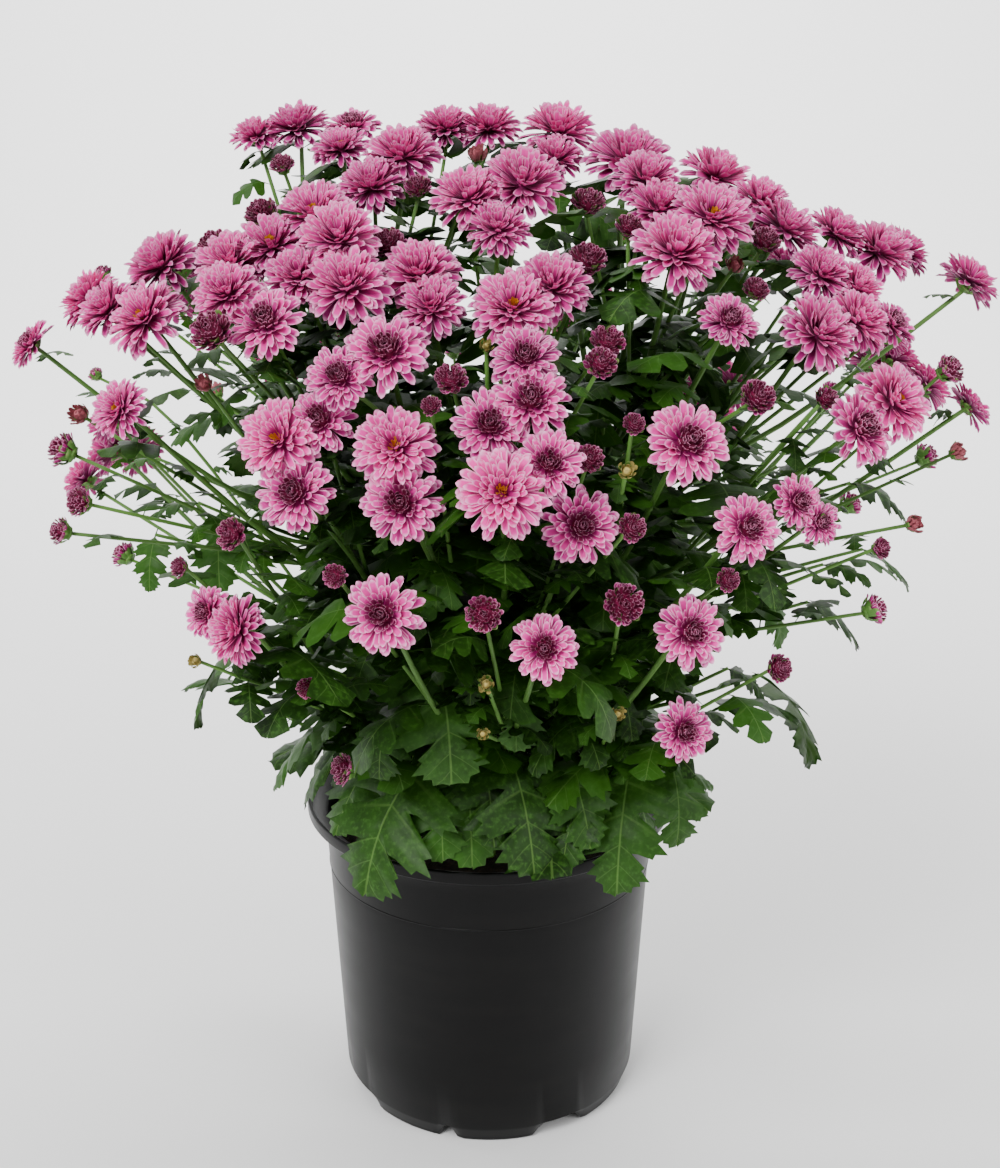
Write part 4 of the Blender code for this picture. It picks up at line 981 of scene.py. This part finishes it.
plans = plan_sprays(blooms, young)
stem_heaps, cup_heaps, young_heaps = ([Heap() for _ in range(STEMS)] for _ in range(3))
stem_points = [[] for _ in range(STEMS)]
for number in range(STEMS):
    path = [stem_point(number, share) for share in np.linspace(0.0, 1.0, 6)]
    stem_points[number] += dense(path)
    line = flowing(path)
    stem_heaps[number].add(*tube(line, np.linspace(*STEM_RADII, len(line))), (0.0, 0.5, 0.0))
for plan in plans:
    number = plan["stem"]
    for rank, (head, stalk) in enumerate(zip(plan["heads"], plan["stalks"])):
        stem_points[number] += dense(stalk)
        if rank == 0:
            stem_points[number] += dense(plan["branch"])
            stalk = plan["branch"] + stalk[1:]
        line = flowing(stalk)
        radii = np.linspace(*(STALK_RADII if rank else BRANCH_RADII), len(line))
        low, high, wide = BLOOM_FLOOR if head.spray else YOUNG_FLOOR
        knob = [head.place + head.way * head.radius * (low + (high - low) * k / 3) for k in range(4)]
        line = np.concatenate((line, knob))
        radii = np.concatenate((radii, np.array((0.5, 0.95, 1.0, 0.7)) * wide * head.radius))
        stem_heaps[number].add(*tube(line, radii), (1.0, (rank * 0.37 + number * 0.2) % 1.0, 0.0))
        add_form(cup_heaps[number], "calyx" if head.spray else "cup", head, rank)
        if not head.spray:
            look = "green_bud" if head.look == "bud" and head.radius < GREEN_BUD_RADIUS else head.look
            add_form(young_heaps[number], look, head, rank + number)

# Young stems: smooth living skin, matt, ridged along its length
stem_green, tree, shader = new_surface("living_stem_green", {
    "Roughness": 0.50, "IOR": 1.42, "Subsurface Weight": 0.05, "Subsurface Radius": (0.001, 0.002, 0.0005)})
uv, tone = read_marks(tree)
skin = add_node(tree, "MixRGB", (tone["X"], "#6f9a3a", "#557f33"))
light = add_node(tree, "MapRange", (tone["Y"], 0.0, 1.0, 0.75, 1.20))
turns = add_node(tree, "Math", (uv["X"], 80.0), operation="MULTIPLY")
ridges = add_node(tree, "Math", (turns,), operation="SINE")
feed(shader, {"Base Color": add_node(tree, "HueSaturation", {"Value": light, "Color": skin}),
              "Normal": add_node(tree, "Bump", {"Height": ridges, "Strength": 0.35, "Distance": 0.0002})})

# Sepals: small matt green scales with paler papery rims
sepal, tree, shader = new_surface("green_sepal", {"Roughness": 0.58, "IOR": 1.42})
uv, _ = read_marks(tree)
tips = add_node(tree, "MapRange", (uv["Y"], 0.72, 1.0))
feed(shader, {"Base Color": add_node(tree, "MixRGB", (tips, "#4f7a30", "#8fae62"))})

for number in range(STEMS):
    node = f"leafy_stem_{number + 1}"
    stem_heaps[number].make(f"stems_{number + 1}", stem_green, "leaf_green", node)
    cup_heaps[number].make(f"calyxes_{number + 1}", sepal, "leaf_green", node)
    if young_heaps[number].points:
        young_heaps[number].make(f"young_heads_{number + 1}", petal, "petal_pink", node)


# Leaves: large and deeply lobed, drooping on arched midribs, dark green and a little waxy above, paler
# beneath, with light sunken veins that run out to the lobes. The lowest hang over the lip of the pot.
LEAVES_A_STEM = 7
BRANCH_LEAVES = (0.92, 0.55)
BARE_REACH = 0.19
LEAF_TRIES = 18
LEAF_LENGTH_LOW = 0.092
LEAF_LENGTH_TOP = 0.058
LEAF_LENGTH_BRANCH = 0.050
LEAF_TURN = math.radians(137.5)
LEAF_GRID = 0.0036
LEAF_CLEAR = 0.0044
LEAF_SEED = 4
# Half outline of a leaf, as shares of its length: where a line leaves the midrib, where it meets the edge,
# and how far out that is
LEAF_LINES = (
    (0.0, 0.0, 0.013), (0.10, 0.10, 0.011), (0.17, 0.17, 0.015), (0.185, 0.19, 0.06), (0.20, 0.205, 0.135),
    (0.215, 0.225, 0.21), (0.23, 0.235, 0.29), (0.245, 0.262, 0.355), (0.262, 0.31, 0.322),
    (0.28, 0.345, 0.415), (0.30, 0.385, 0.335), (0.32, 0.425, 0.345), (0.345, 0.42, 0.235),
    (0.37, 0.425, 0.15), (0.395, 0.445, 0.105), (0.42, 0.475, 0.15), (0.445, 0.515, 0.235),
    (0.47, 0.56, 0.325), (0.49, 0.60, 0.285), (0.51, 0.655, 0.365), (0.535, 0.675, 0.27), (0.56, 0.71, 0.255),
    (0.585, 0.70, 0.14),
    (0.61, 0.705, 0.10), (0.64, 0.73, 0.13), (0.67, 0.765, 0.205), (0.70, 0.79, 0.182), (0.73, 0.845, 0.25),
    (0.765, 0.865, 0.17), (0.80, 0.90, 0.175), (0.84, 0.925, 0.115), (0.88, 0.97, 0.105), (0.93, 0.98, 0.045),
    (0.985, 1.0, 0.006),
)
# Where side veins leave the midrib, one to a lobe
LEAF_VEINS = (0.0, 0.262, 0.475, 0.675, 0.80, 0.90, 1.0)
# The half outline without its lobes, for distances: along the leaf, and out. Then how its blade is waved
LEAF_BREADTH = ((0.20, 0.37, 0.70, 1.0), (0.03, 0.31, 0.27, 0.01))
LEAF_SAG = -0.22
LEAF_QUILT = 0.020
LEAF_WAVE = 0.024
# What a leaf changes with every try: it turns further, first to one side and then to the other, and shrinks
TRY_TURN = 0.16
TRY_SHRINK = 0.012


def leaf_frame(way, rise):
    """A leaf's directions where it rises at an angle: along it, to its side, and up from its face."""
    up = np.array((0.0, 0.0, 1.0))
    cos, sin = np.cos(rise), np.sin(rise)
    along = np.multiply.outer(cos, way) + np.multiply.outer(sin, up)
    return along, np.cross(way, up), np.multiply.outer(cos, up) - np.multiply.outer(sin, way)


def leaf_points(leaf, share, out, over):
    """Points of a leaf: shares of its length along the arched midrib, out to its side, and over its face."""
    chord = leaf_frame(leaf["way"], leaf["rise"] - leaf["bend"] * share / 2)[0]
    face = leaf_frame(leaf["way"], leaf["rise"] - leaf["bend"] * share)[2]
    _, side, up = leaf_frame(leaf["way"], leaf["rise"])
    across = side * math.cos(leaf["roll"]) + up * math.sin(leaf["roll"])
    sag = np.multiply.outer(np.abs(out), (0.0, 0.0, LEAF_SAG))
    reach = chord * share[:, None] + np.multiply.outer(out, across) + sag + face * over[:, None]
    return leaf["base"] + reach * leaf["length"]


def leaf_cloud(leaf):
    """Points spread over a leaf, close enough together that nothing passes between them unseen."""
    shares, outs = [], []
    for share in np.linspace(0.20, 1.0, max(int(leaf["length"] / LEAF_GRID), 6)):
        wide = np.interp(share, *LEAF_BREADTH)
        spread = max(int(2 * wide * leaf["length"] / LEAF_GRID), 1)
        shares += [share] * (spread + 1)
        outs += [wide * (2 * m / spread - 1) for m in range(spread + 1)]
    return leaf_points(leaf, np.array(shares), np.array(outs), np.zeros(len(outs)))


def clear_of_pot(cloud):
    """Whether points stay clear of the pot, its lip and the soil."""
    reach, height = np.hypot(cloud[:, 0], cloud[:, 1]), cloud[:, 2]
    inside = reach < WALL_RADIUS_TOP - 0.008
    over_soil = inside & (height < SOIL_TOP + 0.004)
    at_wall = ~inside & (reach < LIP_RADIUS + 0.003) & (height < POT_HEIGHT + 0.003)
    return not (over_soil | at_wall).any()


def clear_of_points(cloud, others):
    """Whether points keep their distance from other points."""
    low, high = cloud.min(0) - LEAF_CLEAR, cloud.max(0) + LEAF_CLEAR
    near = others[((others > low) & (others < high)).all(1)]
    if not len(near):
        return True
    return (((cloud[:, None] - near[None]) ** 2).sum(2) > LEAF_CLEAR ** 2).all()


def sprouts(plans):
    """Where leaves sprout: up every stem by the golden angle, then to either side of every branch."""
    rng = np.random.default_rng(LEAF_SEED)
    rows = []
    for level in range(LEAVES_A_STEM):
        grown = 1 - level / (LEAVES_A_STEM - 1)
        length = LEAF_LENGTH_TOP + (LEAF_LENGTH_LOW - LEAF_LENGTH_TOP) * grown
        for number in range(STEMS):
            lean = ((level * LEAF_TURN + number) % (2 * math.pi) - math.pi) * 0.5
            rows.append({"stem": number, "base": stem_point(number, 0.96 - 0.76 * grown),
                         "way": turned_way(stem_way(number), lean), "rise": 0.85 - 0.20 * grown,
                         "length": length * rng.uniform(0.88, 1.08), "roll": rng.uniform(-0.25, 0.25)})
    for place, share in enumerate(BRANCH_LEAVES):
        for number, plan in enumerate(plans):
            low, high = plan["branch"][-2], plan["branch"][-1]
            out = unit((high - low) * np.array((1.0, 1.0, 0.0)))
            lean = rng.uniform(0.5, 1.3) * (1 if (number + place) % 2 else -1)
            row = {"stem": plan["stem"], "base": low + (high - low) * share, "way": turned_way(out, lean),
                   "rise": 0.80, "length": LEAF_LENGTH_BRANCH * rng.uniform(0.85, 1.10),
                   "roll": rng.uniform(-0.25, 0.25)}
            # The outermost sprays stand on bare stalks
            if place or abs(plan["middle"][0]) < BARE_REACH:
                rows.append(row)
    return rows


def grow_leaves(plans, stem_points, heads):
    """The leaves, each turned or drooped until it is clear, or else left out."""
    leaves = [[] for _ in range(STEMS)]
    for row in sprouts(plans):
        others = np.array([p for points in stem_points for p in points])
        for attempt in range(LEAF_TRIES):
            angle = (attempt + 1) // 2 * TRY_TURN * (1 if attempt % 2 else -1)
            leaf = dict(row, way=turned_way(row["way"], angle), bend=1.30 + 0.50 * (attempt % 3),
                        length=row["length"] * (1 - TRY_SHRINK * attempt))
            cloud = leaf_cloud(leaf)
            if clear_of_pot(cloud) and room_round(cloud, heads, 0.003) > 1 and clear_of_points(cloud, others):
                leaves[row["stem"]].append(leaf)
                stem_points[row["stem"]] += list(cloud)
                break
    return leaves


def turned_way(way, angle):
    """A level direction turned about the vertical."""
    cos, sin = math.cos(angle), math.sin(angle)
    return np.array((way[0] * cos - way[1] * sin, way[0] * sin + way[1] * cos, 0.0))


# Small leaves: how many to a main stem, their lengths on stems, branches and stalks, and their spacing. The
# sprays beyond OUTER_FROM to the sides carry fewer and smaller ones, least from OUTER_OVER further out.
STEM_FILLERS = 16
FILLER_LENGTHS = ((0.046, 0.070), (0.034, 0.056), (0.017, 0.033))
BRANCH_SPACING = 0.011
STALK_SPACING = 0.015
FILLER_TRIES = 8
OUTER_FROM = 0.13
OUTER_OVER = 0.07


def filler_leaves(plans, heads):
    """Smaller leaves up the stems, branches and stalks, which keep clear of the heads and of the pot only."""
    rng = np.random.default_rng(LEAF_SEED + 1)
    leaves = [[] for _ in range(STEMS)]
    rows = []
    on_stem, on_branch, on_stalk = FILLER_LENGTHS
    for number in range(STEMS):
        for rank in range(STEM_FILLERS):
            place = stem_point(number, 0.30 + 0.68 * (rank + rng.uniform(0, 1)) / STEM_FILLERS)
            rows.append((number, place, stem_way(number), rng.uniform(*on_stem), math.pi))
    for plan in plans:
        way = unit((plan["middle"] - stem_point(plan["stem"], 0.5)) * np.array((1.0, 1.0, 0.0)))
        outer = min(max((abs(plan["middle"][0]) - OUTER_FROM) / OUTER_OVER, 0.0), 1.0)
        rows += [(plan["stem"], place, way, rng.uniform(*on_branch) * (1 - 0.45 * outer), 2.4)
                 for place in dense(plan["branch"], BRANCH_SPACING * (1 + outer))[1:-1]]
        for rank, stalk in enumerate(plan["stalks"]):
            full = 1.0 - 0.55 * outer if rank else 1.5 - 0.9 * outer
            rows += [(plan["stem"], place, way, rng.uniform(*on_stalk) * full, 3.0)
                     for place in dense(stalk, STALK_SPACING * (1 + outer))[1:-1]]
    for number, base, way, length, swing in rows:
        for attempt in range(FILLER_TRIES):
            leaf = {"base": base, "way": turned_way(way, rng.uniform(-swing, swing)),
                    "length": length * 0.96 ** attempt, "rise": rng.uniform(0.2, 1.0),
                    "bend": rng.uniform(0.8, 1.9), "roll": rng.uniform(-0.5, 0.5)}
            cloud = leaf_cloud(leaf)
            if clear_of_pot(cloud) and room_round(cloud, heads, 0.0008) > 1:
                leaves[number].append(leaf)
                break
    return leaves


def flat_blade(lines, columns):
    """A leaf's grid, from side to side and from line to line, with what each point has of its outline."""
    bpy.ops.object.select_all(action="DESELECT")
    bpy.ops.mesh.primitive_grid_add(x_subdivisions=columns, y_subdivisions=len(lines) - 1, size=2.0)
    flat = bpy.context.object
    thicken(flat, 0.01, lambda x, y: (np.abs(x) < 0.99) & (np.abs(y) < 0.99))
    points, faces = mesh_points(flat), mesh_faces(flat)
    bpy.data.objects.remove(flat)
    number = (points[:, 1] + 1) / 2 * (len(lines) - 1)
    root, edge, out = (np.interp(number, np.arange(len(lines)), row) for row in zip(*lines))
    aside = points[:, 0]
    return {"aside": aside, "root": root, "share": root + (edge - root) * np.abs(aside) ** 1.15,
            "out": out * aside, "vein": np.interp(root, LEAF_VEINS, np.arange(len(LEAF_VEINS))),
            "top": np.sign(points[:, 2]), "faces": faces}


# The large leaves are laid out on every line, and the smaller ones on fewer
SMALL_LINES = (0, 2, 4, 6, 7, 9, 11, 14, 17, 19, 21, 23, 27, 31, 33)
TINY_LINES = (0, 2, 5, 9, 14, 19, 23, 27, 33)
LARGE_BLADE = flat_blade(LEAF_LINES, 6)
SMALL_BLADE, TINY_BLADE = (flat_blade([LEAF_LINES[k] for k in lines], 2)
                           for lines in (SMALL_LINES, TINY_LINES))
TINY_LEAF = 0.024


def add_leaf(heap, leaf, blade, rng):
    """Adds a leaf, its blade quilted between the veins and waved at its edge."""
    aside, root = blade["aside"], blade["root"]
    out = blade["out"] * np.clip(rng.normal(1, 0.08), 0.82, 1.15)
    spread = np.clip((root - 0.18) / 0.06, 0, 1)
    quilt = LEAF_QUILT * np.sin(math.pi * blade["vein"]) ** 2 * np.sin(math.pi * np.minimum(np.abs(aside), 1))
    wave = LEAF_WAVE * np.sin(2 * math.pi * (2.4 * root + rng.uniform(0, 1)) + aside) * aside ** 2
    thick = np.interp(root, (0.0, 0.17, 0.22, 1.0), (0.012, 0.012, 0.0035, 0.0025))
    places = leaf_points(leaf, blade["share"], out, spread * (quilt + wave) + blade["top"] * thick)
    tones = np.stack((np.abs(out), np.full(len(out), rng.uniform(0, 1)), (blade["top"] < 0) * 1.0), axis=-1)
    heap.add(places, blade["faces"], np.stack((aside / 2 + 0.5, blade["vein"]), axis=-1), tones)


# Leaves that the eye sees whole, as readings: where the stalk of the leaf starts and where its tip hangs,
# across and down, each with how far it is behind the pot's middle in mm
READ_LEAVES = (
    (438, 748, -84, 366, 896, -122), (436, 762, -80, 443, 862, -116), (498, 728, -78, 534, 877, -120),
    (478, 722, -70, 494, 848, -118), (590, 776, -80, 563, 870, -112), (634, 748, -72, 617, 895, -104),
    (645, 738, -92, 548, 808, -118), (640, 764, -70, 714, 790, -74), (705, 716, -90, 797, 722, -70),
    (752, 672, -55, 806, 768, -50), (352, 708, -86, 275, 790, -92), (262, 632, -60, 199, 729, -62),
    (428, 626, -104, 451, 786, -132), (515, 672, -110, 516, 752, -128), (440, 545, -120, 436, 612, -140),
    (330, 556, -110, 292, 602, -124), (750, 572, -80, 781, 648, -88), (800, 602, -60, 856, 648, -56),
    (815, 566, -60, 872, 586, -70), (842, 484, -50, 905, 522, -55), (855, 548, -50, 909, 592, -50),
    (700, 612, -110, 664, 692, -134), (600, 640, -120, 578, 716, -140), (560, 556, -130, 606, 604, -146),
    (250, 418, -60, 170, 446, -70), (206, 505, -50, 150, 518, -56), (158, 528, -60, 150, 592, -72),
    (222, 500, -80, 220, 592, -96), (258, 540, -90, 240, 574, -104), (163, 462, -40, 124, 470, -46),
    (180, 376, -40, 132, 378, -44), (690, 320, -60, 740, 352, -70), (610, 420, -110, 560, 446, -124),
    (240, 690, -20, 190, 690, 10), (330, 640, -100, 262, 668, -112), (720, 668, -60, 764, 700, -66),
    (380, 640, -110, 356, 700, -128), (770, 470, -60, 828, 474, -70), (455, 690, -90, 405, 742, -120),
    (560, 700, -95, 600, 770, -126), (546, 640, -118, 540, 706, -140), (400, 742, -62, 336, 836, -92),
    (462, 738, -72, 472, 868, -112), (528, 752, -72, 512, 846, -108), (556, 744, -76, 590, 850, -110),
    (604, 752, -66, 650, 842, -84), (668, 752, -50, 676, 846, -62), (372, 700, -80, 352, 770, -112),
    (612, 668, -110, 632, 742, -128), (478, 640, -116, 470, 706, -136), (404, 690, -100, 380, 780, -120),
)
# How far back a leaf is tried, in mm
BACK_STEPS = range(0, 60, 5)


def at_depth(across, down, depth):
    """Where the line of sight through a point comes to a depth behind the pot's middle."""
    line = sight(across, down)
    return EYE + line * (depth - EYE[1]) / line[1]


def read_leaves(heads):
    """The leaves that are read, each moved back until it is clear of the heads and of the pot."""
    rng = np.random.default_rng(LEAF_SEED + 3)
    leaves = []
    for across, down, depth, tip_across, tip_down, tip_depth in READ_LEAVES:
        bend, roll = rng.uniform(0.9, 1.5), rng.uniform(-0.2, 0.2)
        for back in BACK_STEPS:
            base = at_depth(across, down, (depth + back) / 1000)
            chord = at_depth(tip_across, tip_down, (tip_depth + back) / 1000) - base
            flat = chord * (1.0, 1.0, 0.0)
            leaf = {"base": base, "way": unit(flat), "length": np.linalg.norm(chord), "roll": roll,
                    "bend": bend, "rise": math.atan2(chord[2], np.linalg.norm(flat)) + bend / 2}
            cloud = leaf_cloud(leaf)
            if clear_of_pot(cloud) and room_round(cloud, heads, 0.0005) > 1:
                leaves.append(leaf)
                break
    return leaves


# Leaf: living blade with a thin waxy skin. Dark green above with a pale fleck of about 2 mm, greyer and paler
# beneath; the midrib and the side veins are a little lighter and lie in furrows.
leaf_green, tree, shader = new_surface("waxy_leaf_green", {"Roughness": 0.48, "IOR": 1.45,
                                                           "Specular IOR Level": 0.22})
uv, tone = read_marks(tree)
to_vein = add_node(tree, "Math", (uv["Y"], 0.5), operation="PINGPONG")
side_vein = add_node(tree, "MapRange", (to_vein, 0.055, 0.01), **EASED)
fading = add_node(tree, "MapRange", (tone["X"], 0.02, 0.28, 0.22, 0.02))
side_veins = add_node(tree, "Math", (side_vein, fading), operation="MULTIPLY")
rib = add_node(tree, "MapRange", (tone["X"], 0.010, 0.003), **EASED)
midrib = add_node(tree, "Math", (rib, 0.36), operation="MULTIPLY")
veins = add_node(tree, "Math", (side_veins, midrib), operation="MAXIMUM")
where = add_node(tree, "TexCoord", {}).outputs["Object"]
mottle = add_node(tree, "TexNoise", {"Vector": where, "Scale": 0.12 * PER_MM, "Detail": 3.0})
fleck = add_node(tree, "TexNoise", {"Vector": where, "Scale": 0.42 * PER_MM, "Detail": 4.0})
own = add_node(tree, "Math", (tone["Y"], 0.7), operation="MULTIPLY")
mottled = add_node(tree, "Math", (mottle, 0.7, own), operation="MULTIPLY_ADD")
depth = add_node(tree, "MapRange", (mottled, 0.25, 1.05), **EASED)
green = add_node(tree, "MixRGB", (depth, "#142b08", "#2c5511"))
pale = add_node(tree, "MapRange", (fleck, 0.45, 0.80), **EASED)
flecked = add_node(tree, "MixRGB", (pale, green, "#38601f"))
upper = add_node(tree, "MixRGB", (veins, flecked, "#6d9448"))
lower = add_node(tree, "MixRGB", (veins, "#46662f", "#6f8f52"))
beneath = add_node(tree, "MapRange", (tone["Z"], 0.45, 0.55), **EASED)
swelling = add_node(tree, "Math", (mottle, 1.5), operation="MULTIPLY")
height = add_node(tree, "Math", (veins, -1.0, swelling), operation="MULTIPLY_ADD")
feed(shader, {"Base Color": add_node(tree, "MixRGB", (beneath, upper, lower)),
              "Normal": add_node(tree, "Bump", {"Height": height, "Strength": 0.45, "Distance": 0.0006})})

SHOOT_DROP = 0.035
SHOOT_RADII = (0.0016, 0.0009)
rng = np.random.default_rng(LEAF_SEED + 2)
large = grow_leaves(plans, stem_points, heads)
small = filler_leaves(plans, heads)
shoots = [Heap() for _ in range(STEMS)]
for leaf in read_leaves(heads):
    number = nearest_stem(leaf["base"])
    large[number].append(leaf)
    # A side shoot carries it: out of the nearest stem a little lower down, and into the leaf's own line
    root = stem_at(number, leaf["base"][2] - SHOOT_DROP, 0.22, 0.95)
    along = leaf_frame(leaf["way"], leaf["rise"])[0]
    line = flowing([root, (root + leaf["base"]) / 2 - (0.0, 0.0, 0.008), leaf["base"] + along * 0.004], 5)
    shoots[number].add(*tube(line, np.linspace(*SHOOT_RADII, len(line))), (1.0, 0.5, 0.0))
for number in range(STEMS):
    node = f"leafy_stem_{number + 1}"
    heap = Heap()
    for leaf in large[number]:
        add_leaf(heap, leaf, LARGE_BLADE, rng)
    for leaf in small[number]:
        add_leaf(heap, leaf, SMALL_BLADE if leaf["length"] > TINY_LEAF else TINY_BLADE, rng)
    heap.make(f"leaves_{number + 1}", leaf_green, "leaf_green", node)
    if shoots[number].points:
        shoots[number].make(f"side_shoots_{number + 1}", stem_green, "leaf_green", node)


# Light and floor: a large soft box in front and to the upper left, a weaker fill, two strips behind that edge
# the pot, and a pale sweep that runs up behind, with a lamp of its own.
bpy.ops.object.select_all(action="DESELECT")
bpy.ops.mesh.primitive_plane_add(size=16.0, location=(0.0, -4.5, 0.0))
floor = bpy.context.object
floor.name = "floor"
bpy.ops.object.transform_apply(location=True, rotation=False, scale=False)
pick_points(floor, lambda place: place.y > 3.0)
bpy.ops.mesh.extrude_region_move(TRANSFORM_OT_translate={"value": (0.0, 0.0, 6.0)})
bpy.ops.object.mode_set(mode="OBJECT")
pick_points(floor, lambda place: place.y > 3.0 and place.z < 0.1)
bpy.ops.mesh.bevel(offset=2.0, segments=16)
bpy.ops.mesh.normals_make_consistent(inside=True)
bpy.ops.object.mode_set(mode="OBJECT")
floor.data.shade_smooth()
floor.data.materials.append(new_surface("matt_white_paper", {
    "Roughness": 0.90, "IOR": 1.45, "Base Color": "#f7f7f7", "Specular IOR Level": 0.0})[0])


def soft_box(name, place, aim, size, power):
    """A rectangular lamp at a place, turned to its aim."""
    lamp_data = bpy.data.lights.new(name, "AREA")
    lamp_data.shape = "RECTANGLE"
    lamp_data.size, lamp_data.size_y = size
    lamp_data.energy = power
    lamp = bpy.data.objects.new(name, lamp_data)
    lamp.location = place
    lamp.rotation_euler = (Vector(aim) - Vector(place)).to_track_quat("-Z", "Y").to_euler()
    bpy.context.collection.objects.link(lamp)


soft_box("key_light", (-0.9, -1.5, 1.8), (0.0, 0.0, 0.35), (1.0, 1.0), 54.0)
soft_box("fill_light", (1.6, -1.1, 1.1), (0.0, 0.0, 0.30), (1.0, 1.0), 17.0)
soft_box("left_strip", (-1.1, 0.35, 0.35), (0.0, 0.0, 0.15), (0.25, 1.4), 3.5)
soft_box("right_strip", (1.1, 0.35, 0.35), (0.0, 0.0, 0.15), (0.25, 1.4), 3.0)
soft_box("back_wash", (0.0, 1.3, 2.6), (0.0, 3.5, 0.6), (3.0, 0.8), 190.0)
world = bpy.data.worlds.new("white_studio")
bpy.context.scene.world = world
world.use_nodes = True
world.node_tree.nodes["Background"].inputs["Color"].default_value = (1.0, 1.0, 1.0, 1.0)
world.node_tree.nodes["Background"].inputs["Strength"].default_value = 0.45
